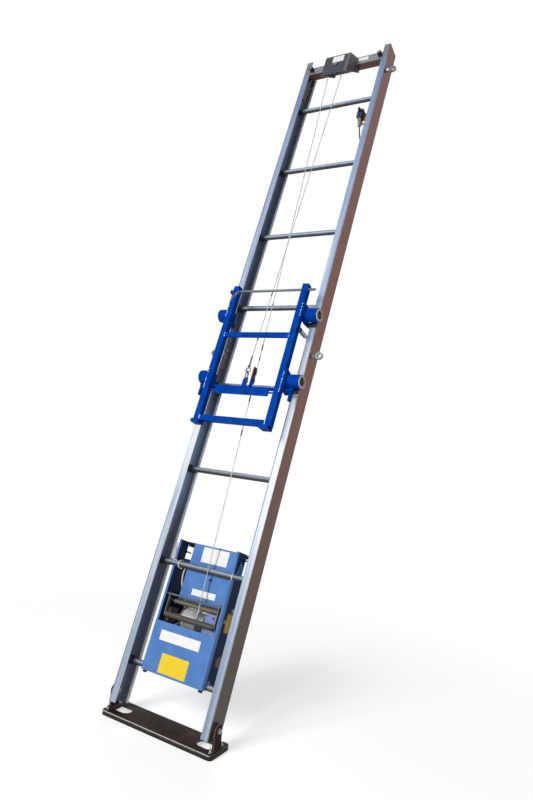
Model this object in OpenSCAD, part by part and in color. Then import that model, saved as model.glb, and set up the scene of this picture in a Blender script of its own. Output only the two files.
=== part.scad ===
// Leaning ladder hoist for roofing material.
// A two-section channel-rail ladder stands on a hinged foot. A roller carriage runs on the front
// flanges, drawn by a wire rope that goes over a head pulley to an electric drum winch hung on the rungs.
// The ladder's own frame has X across, Y from the front of the rails to the back and Z up the rails.

/* [Ladder] */
// Width over the outer faces of the two rails
ladder_w = 590; // [540:1:660]
// Lean of the ladder from the vertical, in degrees
lean = 18.7; // [10:0.1:25]
// Depth of a rail's web, front to back
rail_depth = 100; // [98:0.5:108]
// Width of a rail's flange
rail_flange = 40; // [38:0.5:44]
// Wall of a rail
rail_wall = 4; // [3:0.1:4.4]
// Distance from rung to rung
rung_pitch = 500; // [490:1:520]
// Number of rungs in one ladder section
rungs_each = 4; // [4:1:5]
// Outside diameter of a rung
rung_d = 30; // [26:0.5:31]
// Wall of a rung
rung_wall = 3; // [2:0.1:4]
// Height of the first rung above the lower end of the rails
rung_first = 195; // [190:1:220]
// Depth of the rungs' centre lines behind the front of the rails
rung_back = 67; // [65:0.5:68]
// Length of the short rails at the head
head_len = 118; // [105:1:140]
// Width of the joint plates inside the rails
joint_plate_w = 80; // [60:1:86]
// Thickness of the joint plates
joint_plate_t = 6; // [4:0.5:7]
// Reach of a joint plate below the joint that it bridges
joint_plate_reach = 150; // [120:1:180]

/* [Foot] */
// How far the foot plate stands out beyond each rail
plate_over = 32; // [28:1:75]
// Depth of the foot plate
plate_depth = 148; // [140:1:180]
// Thickness of the foot plate
plate_t = 8; // [6:0.5:10]
// Height of the rubber rim under the foot plate
pad_t = 14; // [10:0.5:16]
// Radius of the foot plate's corners
plate_corner = 18; // [10:0.5:24]
// Length of an anchor slot
slot_l = 94; // [70:1:98]
// Width of an anchor slot
slot_w = 60; // [30:1:64]
// Distance of the anchor slots' centres inside the rails' outer faces
slot_inset = 44; // [42:1:100]
// Height of the hinge axis above the ground
pivot_h = 104; // [102:0.5:115]
// Half width of an ear, and radius of its round top
ear_r = 28; // [24:0.5:32]
// Thickness of an ear
ear_t = 9; // [6:0.5:11]
// Room between a rail's web and its ear, filled by the ear's boss
ear_gap = 9; // [6:0.5:12]
// Diameter of a hinge bolt
pivot_d = 16; // [12:0.5:18]

/* [Head] */
// Height of the head beam's section
beam_h = 60; // [50:1:66]
// Depth of the head beam's section
beam_d = 50; // [40:1:60]
// Pitch radius of the head pulley
pulley_r = 49; // [42:0.5:54]
// Distance of the pulley's rope plane in front of the rails
pulley_front = 72; // [68:0.5:74]
// Width of the pulley box
box_w = 172; // [160:1:190]
// Thickness of the pulley box's sheet
box_t = 3; // [2:0.1:4]
// Diameter of the pulley's axle
pulley_axle_d = 16; // [12:0.5:20]
// Diameter of the wire rope
rope_d = 5; // [4:0.1:5.2]

/* [Winch] */
// Width of the winch housing
winch_w = 364; // [350:1:380]
// How far the winch housing stands above the second rung
winch_over = 120; // [115:1:143]
// Depth of the winch housing, front to back
winch_depth = 180; // [172:1:200]
// Distance of the housing's front edge behind the front of the rails
winch_set = 25; // [23:0.5:27]
// Thickness of the housing's sheet
sheet_t = 3; // [2:0.1:3.5]
// Radius of the bare drum
drum_r = 56; // [52:0.5:56.4]
// Diameter of the drum's shaft
drum_shaft_d = 30; // [24:0.5:34]
// Diameter of the motor
motor_d = 128; // [110:1:130]
// Diameter of the rope pressure roller
press_roller_d = 26; // [22:0.5:26.5]
// Diameter of the rope guide roller
guide_roller_d = 24; // [18:0.5:26]

/* [Carriage] */
// Height of the carriage frame's lower end up the rails, where it stands
carriage_rest = 1425; // [1400:1:1450]
// Length of the carriage frame along the rails
carriage_len = 820; // [800:1:860]
// Distance of the frame's front face in front of the rails
frame_front = 100; // [98:0.5:108]
// Width of the side bars' section
bar_w = 36; // [30:0.5:40]
// Depth of the side bars' section
bar_d = 34; // [30:0.5:34]
// Wall of the frame's tubes
bar_wall = 3; // [2:0.1:4]
// Diameter of a roller
roller_d = 75; // [70:0.5:78]
// Length of a roller's steel shell
roller_len = 68; // [60:0.5:76]
// Diameter of a roller's axle
axle_d = 20; // [16:0.5:24]
// Diameter of the lock rod
lock_rod_d = 14; // [10:0.5:14]
// Diameter of the safety catch's shaft
catch_d = 18; // [14:0.5:18]
// Length of a catch claw from the shaft's axis
claw_len = 60; // [50:1:62]

/* [Hidden] */
$fn = 48;

// Clearances and the overrun of cuts
run_gap = 0.06;
seat_gap = 0.3;
side_gap = 0.3;
cut = 1;

// Rails and rungs
half_w = ladder_w / 2;
web_in = half_w - rail_wall;
lip_in = half_w - rail_flange;
rung_r = rung_d / 2;
section_joint = rung_first + (rungs_each - 0.5) * rung_pitch;
head_joint = section_joint + rungs_each * rung_pitch;
rail_top = head_joint + head_len;
collar_wall = 7;
collar_r = rung_r + collar_wall;
collar_t = 6;
joint_in = web_in - joint_plate_t;
joint_plate_over = 100;

// Foot and its hinge, which lies in the foot's frame and in the ladder's
plate_w = ladder_w + 2 * plate_over;
slot_x = half_w - slot_inset;
pad_rim = 22;
plate_top = pad_t + plate_t;
pivot_y = -7;
pivot_back = 40;
pivot_up = 50;
pivot_nut_t = 11;
pivot_head_t = 9;
pivot_head_d = 27;
ear_in = half_w + ear_gap;
ear_out = ear_in + ear_t;
ear_flare = 5;
ear_base = ear_r + ear_flare;
ear_flare_h = 30;
stud_d = 8;
stud_h = 19;
stud_nut_d = 15;
stud_nut_t = 6;
stud_inset = 20;
stud_spread = 44;

// Eye bolts
eye_drop_mid = 65;
eye_drop_head = 77;
eye_back = 30;
eye_reach = 43;
eye_out_r = 21;
eye_hole_r = 12;
eye_t = 13;
eye_shank_d = 12;
eye_collar_d = 24;
eye_collar_t = 6;
eye_nut_t = 10;

// Head
beam_rise = 7;
beam_gap = 1;
beam_back = rail_wall + beam_gap;
beam_wall = 3;
beam_low = head_joint + beam_rise;
pulley_drop = 77;
pulley_v = head_joint - pulley_drop;
pulley_rim = 7;
pulley_rim_r = pulley_r + pulley_rim;
pulley_half_t = 10;
groove_half = 4.2;
groove_mouth = 7.5;
groove_gap = 0.9;
box_ahead = 23;
box_front = pulley_front + box_ahead;
box_behind = 20;
box_rear = pulley_front - box_behind;
box_under = 73;
box_low = pulley_v - box_under;
box_over = 77;
box_high = pulley_v + box_over;
box_slope = 58;
box_slant_low = 88;
box_tail = 50;
box_tail_h = 21;
axle_head_t = 9;
axle_head_d = 26;
axle_nut_t = 12;
buffer_d = 27;
buffer_l = 28;
buffer_edge = 15;
buffer_inset = lip_in - buffer_edge;

// Limit switch on the right rail
switch_drop = 475;
switch_v = head_joint - switch_drop;
switch_inset = 37;
switch_u = lip_in - switch_inset;
switch_w = 34;
switch_d = 40;
switch_h = 58;
bracket_back = 20;
bracket_t = 4;
bracket_foot = 40;
gland_d = 20;
gland_l = 62;
gland_tilt = 30;
gland_back = -12;
knob_d = 14;
knob_l = 16;
lever_t = 6;
lever_h = 12;
lever_drop = 54;
lever_reach = 34;
lever_pin_d = 8;
lever_pin_l = 18;
lever_pin_rise = 30;
lever_pin_v = switch_v + lever_pin_rise;
lever_boss_d = 18;

// Winch housing
winch_half = winch_w / 2;
winch_in = winch_half - sheet_t;
winch_under = 17;
winch_low = rung_first - winch_under;
rung_two = rung_first + rung_pitch;
winch_top = rung_two + winch_over;
winch_back = winch_set + winch_depth;
notch_r = rung_r + seat_gap;
lip_w = 12;
front_cover_h = 234;
panel_gap = 3;
panel_back = rung_back + rung_r + panel_gap;
mid_cover_rise = 355;
mid_cover_gap = 47;
window_w = 52;
window_top = 7;
window_h = 80;
side_top_depth = 80;
side_step = 5;
roof_fold = 14;
back_rise = 382;
hook_t = 5;
hook_h = 62;
hook_front = 20;
hook_rear = 26;
clip_wire_d = 8;
clip_inset = 14;
clip_u = winch_in - clip_inset;
disc_d = 50;
disc_gap = 1;
disc_out = 3;

// Drum, rollers, gearbox and motor of the winch
drum_rise = 270;
drum_v = winch_low + drum_rise;
drum_back = 116;
drum_reach = 74;
drum_left = -drum_reach;
drum_right = 66;
drum_disc_t = 3;
drum_disc_over = 5.5;
drum_disc_r = drum_r + drum_disc_over;
shaft_end_gap = 3;
shaft_left = -winch_in + shaft_end_gap;
shaft_right = 125;
shaft_play = 5;
rope_u = 27;
wind_lift = 0.7;
wind_r = drum_r + rope_d / 2 + wind_lift;
wind_space = 0.6;
wind_pitch = rope_d + wind_space;
wind_start = rope_u - wind_pitch - seat_gap;
wind_loops = 15;
loop_rings = 24;
wind_sides = 6;
wind_out_r = wind_r + rope_d / 2;
press_gap = 0.5;
press_back = drum_back - wind_out_r - press_roller_d / 2 - press_gap;
press_inset = 33;
press_half = winch_in - press_inset;
press_axle_d = 10;
rod_d = 10;
rod_inset = 40;
rod_drop = 140;
rod_rise = 367;
rod_v = winch_low + rod_rise;
rod_back = 41;
arm_t = 4;
arm_w = 18;
arm_gap = 3;
arm_u = press_half + arm_gap;
guide_rise = 340;
guide_v = winch_low + guide_rise;
guide_back = 85;
guide_axle_d = 10;
bearing_t = 22;
bearing_w = 70;
gear_gap = 4;
gear_left = drum_right + gear_gap;
gear_inset = 7;
gear_right = winch_in - gear_inset;
gear_rise = 62;
gear_low = winch_low + gear_rise;
gear_over = 55;
gear_high = drum_v + gear_over;
gear_front = 62;
gear_deep = 120;
gear_boss_d = 16;
plug_d = 14;
plug_deep = 10;
plug_inset = 52;
motor_rise = 130;
motor_v = winch_low + motor_rise;
motor_back = 100;
motor_inset = 29;
motor_left = -winch_in + motor_inset;
motor_cap_t = 14;
motor_cap_d = 104;
motor_fins = 9;
motor_fin_t = 4;
motor_fin_h = 4;
terminal_w = 60;
terminal_d = 50;
terminal_h = 22;
terminal_top = motor_v + motor_d / 2 + terminal_h;

// Carriage frame
gusset_t = 6;
shoe_web = 7.5;
shoe_edge_gap = 1.5;
gusset_out = lip_in - shoe_web - shoe_edge_gap;
gusset_in = gusset_out - gusset_t;
bar_out = gusset_in;
bar_in = bar_out - bar_w;
bar_rear = frame_front - bar_d;
roller_r = roller_d / 2;
roller_front = roller_r + seat_gap;
upper_axle_drop = 160;
upper_axle_v = carriage_rest + carriage_len - upper_axle_drop;
lower_axle_rise = 272;
lower_axle_v = carriage_rest + lower_axle_rise;
lock_rod_drop = 33;
lock_rod_v = carriage_rest + carriage_len - lock_rod_drop;
lock_rod_in = 10.5;
lock_rod_front = frame_front - lock_rod_in;
lock_rod_tail = 11;
lock_rod_free = 42;
lock_head_d = 26;
lock_head_t = 6;
lock_groove_out = 3;
lock_groove_w = 3;
lock_groove_d = 10;
top_bar_drop = 164;
top_bar_v = upper_axle_v - top_bar_drop;
top_bar_h = 28;
top_bar_d = 15;
low_bar_h = 30;
lug_bar_rise = 165;
lug_bar_v = carriage_rest + lug_bar_rise;
lug_bar_h = 24;
lug_tab_h = 8;
lug_tab_l = 38;
lug_bar_t = 6;
lug_front = 80;
lug_u = 4;
lug_w = 28;
lug_hole_d = 12;
lug_rise = 85;
lug_hole_v = lug_bar_v + lug_rise;
gusset_set = 6;
gusset_front = frame_front - gusset_set;
gusset_up = 52;
gusset_nose = 72;
gusset_down = 80;
gusset_short = 22;
gusset_toe = 5;
gusset_toe_up = 24;
gusset_tail = 16;
face_gap = 0.5;
shoe_top = 30;
shoe_h = 22;
shoe_front_t = 12;
shoe_reach = 46;
shoe_hold = 34;
roller_gap = 2;
roller_u = gusset_out + roller_gap;
shell_t = 4;
bush_flange_t = 3;
bush_flange_in = 5;
bush_flange_d = roller_d - bush_flange_in;
bush_end = roller_u + roller_len + bush_flange_t;
recess_d = 37;
recess_deep = 14;
shoulder_d = 34;
washer_d = 30;
washer_t = 5;
washer_u = bush_end - recess_deep + side_gap;
bolt_head_d = 18;
bolt_head_t = 6;
bolt_end = washer_u + washer_t + bolt_head_t;
lip_t = 6;
lip_h = 20;
lip_out = 20;
lip_inside = 18;
peg_drop = 106;
peg_v = upper_axle_v - peg_drop;
peg_d = 16;
peg_front = 62;
peg_tip = 35;
peg_base_w = 11;
peg_base_l = 22;

// Safety catch
catch_drop = 57;
catch_v = lower_axle_v - catch_drop;
catch_front = 56;
catch_boss_d = 30;
catch_tip = 3;
claw_t = 12;
claw_w = 22;
claw_inset = 19;
claw_u = half_w - claw_inset;
slack_u = 24;
slack_t = 10;
slack_w = 20;
slack_len = 118;

// Rope end on the carriage
shackle_r = 10;
shackle_wire = 8;
shackle_leg = 40;
shackle_pin_d = 11;
thimble_t = 6;
thimble_r = 16;
thimble_hole_r = 11;
thimble_gap = 5;
thimble_v = lug_hole_v + shackle_leg + shackle_r + thimble_gap;
ferrule_d = 12;
ferrule_l = 44;
ferrule_top = thimble_v + thimble_r + ferrule_l;
pulley_steps = 16;

// Cables in the ladder's frame; each bend goes from one point to the next by shares of the way
cable_d = 8;
cable_inset = 17;
cable_back = 90;
cable_bend_drop = 290;
cable_over = 85;
cable_entry_drop = 30;
cable_entry_back = 100;
cable_u = web_in - cable_inset;
gland_run = [0, sin(gland_tilt), -cos(gland_tilt)];
gland_end = [switch_u, gland_back, switch_v + gland_d / 2] + gland_l * gland_run;
cable_top = gland_end + 2 * cable_d * gland_run;
cable_high = [cable_u, cable_back, switch_v - cable_bend_drop];
cable_low = [cable_u, cable_back, winch_top + cable_over];
cable_entry = [winch_half, cable_entry_back, winch_top - cable_entry_drop];
cable_turn = cable_entry + [2 * cable_d, 0, 0];
upper_bend_shares = [[0.018, 0.238, 0.114], [0.089, 0.460, 0.225], [0.268, 0.683, 0.346],
    [0.518, 0.857, 0.475], [0.768, 0.968, 0.621], [0.929, 1, 0.785]];
lower_bend_shares = [[0.013, 0, 0.304], [0.105, 0, 0.565], [0.289, 0.1, 0.765], [0.5, 0.4, 0.904],
    [0.737, 0.9, 0.983]];
switch_route = concat([gland_end, cable_top], between(cable_top, cable_high, upper_bend_shares),
    [cable_high, cable_low], between(cable_low, cable_turn, lower_bend_shares), [cable_turn, cable_entry]);

// The motor's lead swings out to the left, and its bow goes from front to back
lead_d = 8;
lead_left = 100;
lead_u = -lead_left;
lead_back = 130;
lead_swing = 59;
lead_front = 101;
lead_bow = 59;
lead_set = 2;
lead_high = winch_top - sheet_t;
lead_top = [lead_u, lead_back, lead_high - 2 * lead_d];
lead_low = [motor_left + terminal_w / 2, motor_back + lead_set, terminal_top + lead_d];
lead_shares = [[0.136, 0.390, 0.066], [0.407, 0.220, 0.129], [0.712, 0.102, 0.198], [0.932, 0.034, 0.274],
    [1, 0, 0.358], [0.932, 0.034, 0.447], [0.797, 0.153, 0.523], [0.661, 0.390, 0.586],
    [0.559, 0.695, 0.650],
    [0.508, 0.932, 0.739], [0.508, 1, 0.853], [0.508, 0.898, 0.919], [0.475, 0.627, 0.962],
    [0.407, 0.254, 0.980]];
lead_bend = between([lead_u, lead_front, lead_top[2]],
    [lead_u - lead_swing, lead_front + lead_bow, lead_low[2]], lead_shares);
lead_route = concat([[lead_u, lead_back, lead_high], lead_top], lead_bend,
    [lead_low, lead_low - [0, 0, lead_d]]);

// Points that lie by three shares each between the corners a and b
function between(a, b, shares) =
    [for (share = shares) [for (k = [0 : 2]) a[k] + share[k] * (b[k] - a[k])]];

function unit(v) = v / norm(v);

// Ring of points round p, square to the run t of a tube; Y is never along a tube here
function ring(p, t, r, sides) =
    let (a = unit(cross(t, [0, 1, 0])), b = cross(a, t))
    [for (i = [0 : sides - 1]) p + r * (a * cos(360 * i / sides) + b * sin(360 * i / sides))];

// Run of the path at point i
function run_at(path, i) =
    unit(path[min(i + 1, len(path) - 1)] - path[max(i - 1, 0)]);

// Tube swept along a path, with flat ends
module tube(path, d, sides) {
    rings = len(path);
    points = [for (i = [0 : rings - 1]) each ring(path[i], run_at(path, i), d / 2, sides)];
    walls = [for (i = [0 : rings - 2], j = [0 : sides - 1])
        let (k = (j + 1) % sides, a = i * sides + j, b = i * sides + k)
        each [[a, b, b + sides], [a, b + sides, a + sides]]];
    last = (rings - 1) * sides;
    ends = [for (j = [1 : sides - 2]) each [[0, j + 1, j], [last, last + j, last + j + 1]]];
    polyhedron(points, concat(walls, ends));
}

// Places a shape made in the ladder's frame
module on_ladder() {
    translate([0, pivot_y, pivot_h])
        rotate([-lean, 0, 0])
            translate([0, -pivot_back, -pivot_up])
                children();
}

module both_sides() {
    for (side = [0, 1])
        mirror([side, 0, 0])
            children();
}

module block(low, high) {
    translate(low)
        cube(high - low);
}

// Round bar across the ladder, from u0 to u1
module cross_round(d, u0, u1, y, v) {
    translate([u0, y, v])
        rotate([0, 90, 0])
            cylinder(d = d, h = u1 - u0);
}

// Round bar from front to back, from y0 to y1
module deep_round(d, y0, y1, u, v) {
    translate([u, y0, v])
        rotate([-90, 0, 0])
            cylinder(d = d, h = y1 - y0);
}

// Plate across the ladder's width axis, its outline given as [y, v]
module flat_plate(outline, u0, u1) {
    translate([u0, 0, 0])
        rotate([90, 0, 90])
            linear_extrude(u1 - u0)
                polygon(outline);
}

// Foot

module rounded_plate(low, high) {
    r = plate_corner;
    difference() {
        union() {
            block([-plate_w / 2 + r, -plate_depth / 2, low], [plate_w / 2 - r, plate_depth / 2, high]);
            block([-plate_w / 2, -plate_depth / 2 + r, low], [plate_w / 2, plate_depth / 2 - r, high]);
            for (x = [-1, 1], y = [-1, 1])
                translate([x * (plate_w / 2 - r), y * (plate_depth / 2 - r), low])
                    cylinder(r = r, h = high - low);
        }
        both_sides()
            anchor_slot(low - cut, high + cut);
    }
}

module anchor_slot(low, high) {
    run = (slot_l - slot_w) / 2;
    block([slot_x - run, -slot_w / 2, low], [slot_x + run, slot_w / 2, high]);
    for (x = [-run, run])
        translate([slot_x + x, 0, low])
            cylinder(d = slot_w, h = high - low);
}

module foot_plate() {
    color("#3a2e2a")
        rounded_plate(pad_t, plate_top);
}

// Rubber rim under the edge of the foot plate
module foot_pad() {
    color("#1c1a19")
        difference() {
            rounded_plate(0, pad_t);
            block([pad_rim - plate_w / 2, pad_rim - plate_depth / 2, -cut],
                [plate_w / 2 - pad_rim, plate_depth / 2 - pad_rim, pad_t + cut]);
        }
}

module foot_ears() {
    color("#4a3c36")
        both_sides()
            difference() {
                union() {
                    flat_plate([[pivot_y - ear_base, plate_top], [pivot_y + ear_base, plate_top],
                        [pivot_y + ear_r, plate_top + ear_flare_h], [pivot_y + ear_r, pivot_h],
                        [pivot_y - ear_r, pivot_h], [pivot_y - ear_r, plate_top + ear_flare_h]],
                        ear_in, ear_out);
                    cross_round(2 * ear_r, half_w + side_gap, ear_out, pivot_y, pivot_h);
                }
                cross_round(pivot_d, half_w - cut, ear_out + cut, pivot_y, pivot_h);
            }
}

module foot_studs() {
    color("silver")
        both_sides()
            for (y = [pivot_y - stud_spread, pivot_y + stud_spread])
                translate([plate_w / 2 - stud_inset, y, plate_top]) {
                    cylinder(d = stud_nut_d, h = stud_nut_t, $fn = 6);
                    cylinder(d = stud_d, h = stud_h);
                }
}

module pivot_bolts() {
    nut_in = web_in - side_gap - pivot_nut_t;
    color("silver")
        both_sides() {
            cross_round(pivot_d, nut_in, ear_out, pivot_y, pivot_h);
            cross_round(pivot_head_d, ear_out, ear_out + pivot_head_t, pivot_y, pivot_h, $fn = 6);
            cross_round(pivot_head_d, nut_in, web_in - side_gap, pivot_y, pivot_h, $fn = 6);
        }
}

// Ladder

// Right-hand channel rail between two heights
module channel_rail(low, high) {
    translate([0, 0, low])
        linear_extrude(high - low)
            polygon([[half_w, 0], [half_w, rail_depth], [lip_in, rail_depth],
                [lip_in, rail_depth - rail_wall], [web_in, rail_depth - rail_wall],
                [web_in, rail_wall], [lip_in, rail_wall], [lip_in, 0]]);
}

module eye_bore(v) {
    cross_round(eye_shank_d + 2 * seat_gap, joint_in - cut, half_w + cut, eye_back, v);
}

module lower_rail() {
    color("#c9d2dc")
        difference() {
            channel_rail(0, section_joint);
            cross_round(pivot_d + 2 * run_gap, web_in - cut, half_w + cut, pivot_back, pivot_up);
            eye_bore(section_joint - eye_drop_mid);
        }
}

// Upper rail, bored for an eye bolt where eyed is true
module upper_rail(eyed) {
    color("#c9d2dc")
        difference() {
            channel_rail(section_joint, head_joint);
            if (eyed)
                eye_bore(head_joint - eye_drop_head);
        }
}

module left_lower_rail() {
    on_ladder()
        mirror([1, 0, 0])
            lower_rail();
}

module right_lower_rail() {
    on_ladder()
        lower_rail();
}

module left_upper_rail() {
    on_ladder()
        mirror([1, 0, 0])
            upper_rail(false);
}

module right_upper_rail() {
    on_ladder()
        upper_rail(true);
}

module head_rails() {
    color("#b4bac2")
        on_ladder()
            both_sides()
                channel_rail(head_joint, rail_top);
}

// Rung tube with a swaged collar against each web
module rung(v) {
    difference() {
        union() {
            cross_round(rung_d, -web_in, web_in, rung_back, v);
            both_sides()
                cross_round(2 * collar_r, web_in - collar_t, web_in, rung_back, v);
        }
        cross_round(rung_d - 2 * rung_wall, -web_in - cut, web_in + cut, rung_back, v);
    }
}

module lower_rungs() {
    color("#8a919a")
        on_ladder()
            for (k = [0 : rungs_each - 1])
                rung(rung_first + k * rung_pitch);
}

module upper_rungs() {
    color("#8a919a")
        on_ladder()
            for (k = [rungs_each : 2 * rungs_each - 1])
                rung(rung_first + k * rung_pitch);
}

// Plate inside a rail across the joint at v, with the hole for an eye bolt where eyed is true
module joint_plate(v, over, eye_drop, eyed) {
    margin = (rail_depth - joint_plate_w) / 2;
    difference() {
        block([joint_in, margin, v - joint_plate_reach], [web_in, rail_depth - margin, v + over]);
        if (eyed)
            eye_bore(v - eye_drop);
    }
}

module joint_plates() {
    color("#5c5f66")
        on_ladder() {
            both_sides()
                joint_plate(section_joint, joint_plate_reach, eye_drop_mid, true);
            joint_plate(head_joint, joint_plate_over, eye_drop_head, true);
            mirror([1, 0, 0])
                joint_plate(head_joint, joint_plate_over, eye_drop_head, false);
        }
}

// Eye bolt through the right web, its ring facing the front
module eye_bolt(v) {
    ring_u = half_w + eye_reach;
    nut_in = joint_in - eye_nut_t;
    difference() {
        union() {
            cross_round(eye_shank_d, nut_in, ring_u, eye_back, v);
            cross_round(eye_collar_d, half_w, half_w + eye_collar_t, eye_back, v);
            cross_round(eye_collar_d, nut_in, joint_in, eye_back, v, $fn = 6);
            deep_round(2 * eye_out_r, eye_back - eye_t / 2, eye_back + eye_t / 2, ring_u, v);
        }
        deep_round(2 * eye_hole_r, eye_back - eye_t, eye_back + eye_t, ring_u, v);
    }
}

module eye_bolts() {
    color("silver")
        on_ladder() {
            both_sides()
                eye_bolt(section_joint - eye_drop_mid);
            eye_bolt(head_joint - eye_drop_head);
        }
}

// Head

module head_beam() {
    color("#8d8a8c")
        on_ladder()
            difference() {
                block([-joint_in, beam_back, beam_low], [joint_in, beam_back + beam_d, beam_low + beam_h]);
                block([-joint_in - cut, beam_back + beam_wall, beam_low + beam_wall],
                    [joint_in + cut, beam_back + beam_d - beam_wall, beam_low + beam_h - beam_wall]);
            }
}

// Folded sheet box: front plate, two slanting sides, top and the plate behind the pulley
module pulley_box() {
    half = box_w / 2;
    side = [[-box_front, box_low], [-box_front, box_high], [beam_back, box_high + box_slope],
        [beam_back, beam_low], [beam_back + box_tail, beam_low],
        [beam_back + box_tail, beam_low - box_tail_h], [beam_back, box_low + box_slant_low]];
    roof = [[-box_front, box_high - box_t], [-box_front, box_high],
        [beam_back, box_high + box_slope], [beam_back, box_high + box_slope - box_t]];
    color("#3c4048")
        on_ladder()
            difference() {
                union() {
                    both_sides()
                        flat_plate(side, half - box_t, half);
                    block([-half, -box_front, box_low], [half, -box_front + box_t, box_high]);
                    block([-half, -box_rear - box_t, box_low + box_slant_low / 2],
                        [half, -box_rear, box_high]);
                    flat_plate(roof, -half, half);
                }
                deep_round(pulley_axle_d, -box_front - cut, -box_rear + cut, 0, pulley_v);
            }
}

module pulley_axle() {
    nut_front = -box_rear + axle_nut_t;
    color("silver")
        on_ladder() {
            deep_round(pulley_axle_d, -box_front - axle_head_t, nut_front, 0, pulley_v);
            deep_round(axle_head_d, -box_front - axle_head_t, -box_front, 0, pulley_v, $fn = 6);
            deep_round(axle_head_d, -box_rear, nut_front, 0, pulley_v, $fn = 6);
        }
}

// Grooved sheave; its profile runs from the bore to the rim
module head_pulley() {
    bore = pulley_axle_d / 2 + run_gap;
    floor_r = pulley_r - rope_d / 2 - groove_gap;
    color("#5d6066")
        on_ladder()
            translate([0, -pulley_front, pulley_v])
                rotate([90, 0, 0])
                    rotate_extrude()
                        polygon([[bore, -pulley_half_t], [pulley_rim_r, -pulley_half_t],
                            [pulley_rim_r, -groove_mouth], [floor_r, -groove_half], [floor_r, groove_half],
                            [pulley_rim_r, groove_mouth], [pulley_rim_r, pulley_half_t],
                            [bore, pulley_half_t]]);
}

module head_buffers() {
    color("#141414")
        on_ladder()
            both_sides()
                deep_round(buffer_d, beam_back - buffer_l, beam_back, buffer_inset, beam_low + beam_h / 2);
}

// Limit switch

// Plate from the right web to the back of the switch, with a foot on the web
module switch_bracket() {
    color("#c8a81c")
        on_ladder()
            difference() {
                union() {
                    block([switch_u - switch_w / 2, bracket_back, switch_v],
                        [web_in, bracket_back + bracket_t, switch_v + switch_h]);
                    block([web_in - bracket_t, bracket_back, switch_v],
                        [web_in, bracket_back + bracket_foot, switch_v + switch_h]);
                }
                lever_bore();
            }
}

module lever_bore() {
    deep_round(lever_pin_d + 2 * run_gap, bracket_back - lever_pin_l - side_gap,
        bracket_back + bracket_t + cut, switch_u, lever_pin_v);
}

// Body in front of the bracket, with its knob above and its cable gland slanting back below
module switch_body() {
    color("#17181a")
        on_ladder()
            difference() {
                union() {
                    block([switch_u - switch_w / 2, bracket_back - switch_d, switch_v],
                        [switch_u + switch_w / 2, bracket_back, switch_v + switch_h]);
                    deep_round(knob_d, bracket_back - switch_d - knob_l, bracket_back - switch_d,
                        switch_u, switch_v + switch_h - knob_d);
                    translate([switch_u, gland_back, switch_v + gland_d / 2])
                        rotate([gland_tilt, 0, 0])
                            translate([0, 0, -gland_l])
                                cylinder(d = gland_d, h = gland_l);
                }
                lever_bore();
            }
}

// Arm that the carriage's peg lifts, on a pin in the switch body
module switch_lever() {
    near = bracket_back + bracket_t + side_gap;
    color("#e0b800")
        on_ladder() {
            deep_round(lever_pin_d, bracket_back - lever_pin_l, near + lever_t, switch_u, lever_pin_v);
            deep_round(lever_boss_d, near, near + lever_t, switch_u, lever_pin_v);
            block([switch_u - lever_h / 2, near, lever_pin_v - lever_drop],
                [switch_u + lever_h / 2, near + lever_t, lever_pin_v]);
            block([switch_u - lever_h / 2, near, lever_pin_v - lever_drop],
                [switch_u + lever_reach, near + lever_t, lever_pin_v - lever_drop + lever_h]);
        }
}

// Cable from the switch down the right rail, behind the rungs, to the winch
module switch_cable() {
    color("#1b1b1c")
        on_ladder()
            tube(switch_route, cable_d, 8);
}

// Winch housing

// Slot that lets a rung into a side plate, open along the way given
module rung_slot(v, way) {
    reach = winch_depth;
    cross_round(2 * notch_r, winch_half - lip_w - cut, winch_half + cut, rung_back, v);
    block([winch_half - lip_w - cut, rung_back - notch_r - way[0] * reach, v - notch_r - way[1] * reach],
        [winch_half + cut, rung_back + (1 - way[0]) * notch_r, v + (1 - way[1]) * notch_r]);
}

// Right side plate with its folded front lip, slotted over the two rungs and cut back at the top
module side_plate() {
    difference() {
        union() {
            block([winch_in, winch_set, winch_low], [winch_half, winch_back, winch_top]);
            block([winch_half - lip_w, winch_set, winch_low], [winch_half, winch_set + sheet_t, winch_top]);
        }
        rung_slot(rung_first, [0, 1]);
        rung_slot(rung_two, [1, 0]);
        block([winch_in - cut, winch_set + side_top_depth, rung_two + side_step],
            [winch_half + cut, winch_back + cut, winch_top + cut]);
    }
}

// Left side plate, folded round the back up to the rope drum's opening
module winch_left_side() {
    color("#4f7fc4")
        on_ladder() {
            mirror([1, 0, 0])
                side_plate();
            block([-winch_half, winch_back - sheet_t, winch_low],
                [winch_in, winch_back, winch_low + back_rise]);
        }
}

module winch_right_side() {
    color("#4f7fc4")
        on_ladder()
            difference() {
                side_plate();
                cross_round(disc_d + 2 * disc_gap, winch_in - cut, winch_half + cut, motor_back, motor_v);
            }
}

module winch_front_cover() {
    color("#5585c8")
        on_ladder()
            block([-winch_half, winch_set - sheet_t, winch_low],
                [winch_half, winch_set, winch_low + front_cover_h]);
}

module winch_mid_cover() {
    color("#5585c8")
        on_ladder()
            block([-winch_in + mid_cover_gap, panel_back, winch_low + mid_cover_rise],
                [winch_in, panel_back + sheet_t, rung_two]);
}

// Upper panel with its open corner, folded back into the roof and down at its rear edge
module winch_top_cover() {
    color("#5585c8")
        on_ladder()
            difference() {
                union() {
                    block([-winch_in, panel_back, rung_two], [winch_in, panel_back + sheet_t, winch_top]);
                    block([-winch_in, panel_back, winch_top - sheet_t], [winch_in, winch_back, winch_top]);
                    block([-winch_in, winch_back - sheet_t, winch_top - roof_fold],
                        [winch_in, winch_back, winch_top]);
                }
                block([-winch_in - cut, panel_back - cut, winch_top - window_top - window_h],
                    [-winch_in + window_w, panel_back + sheet_t + cut, winch_top - window_top]);
            }
}

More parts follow.
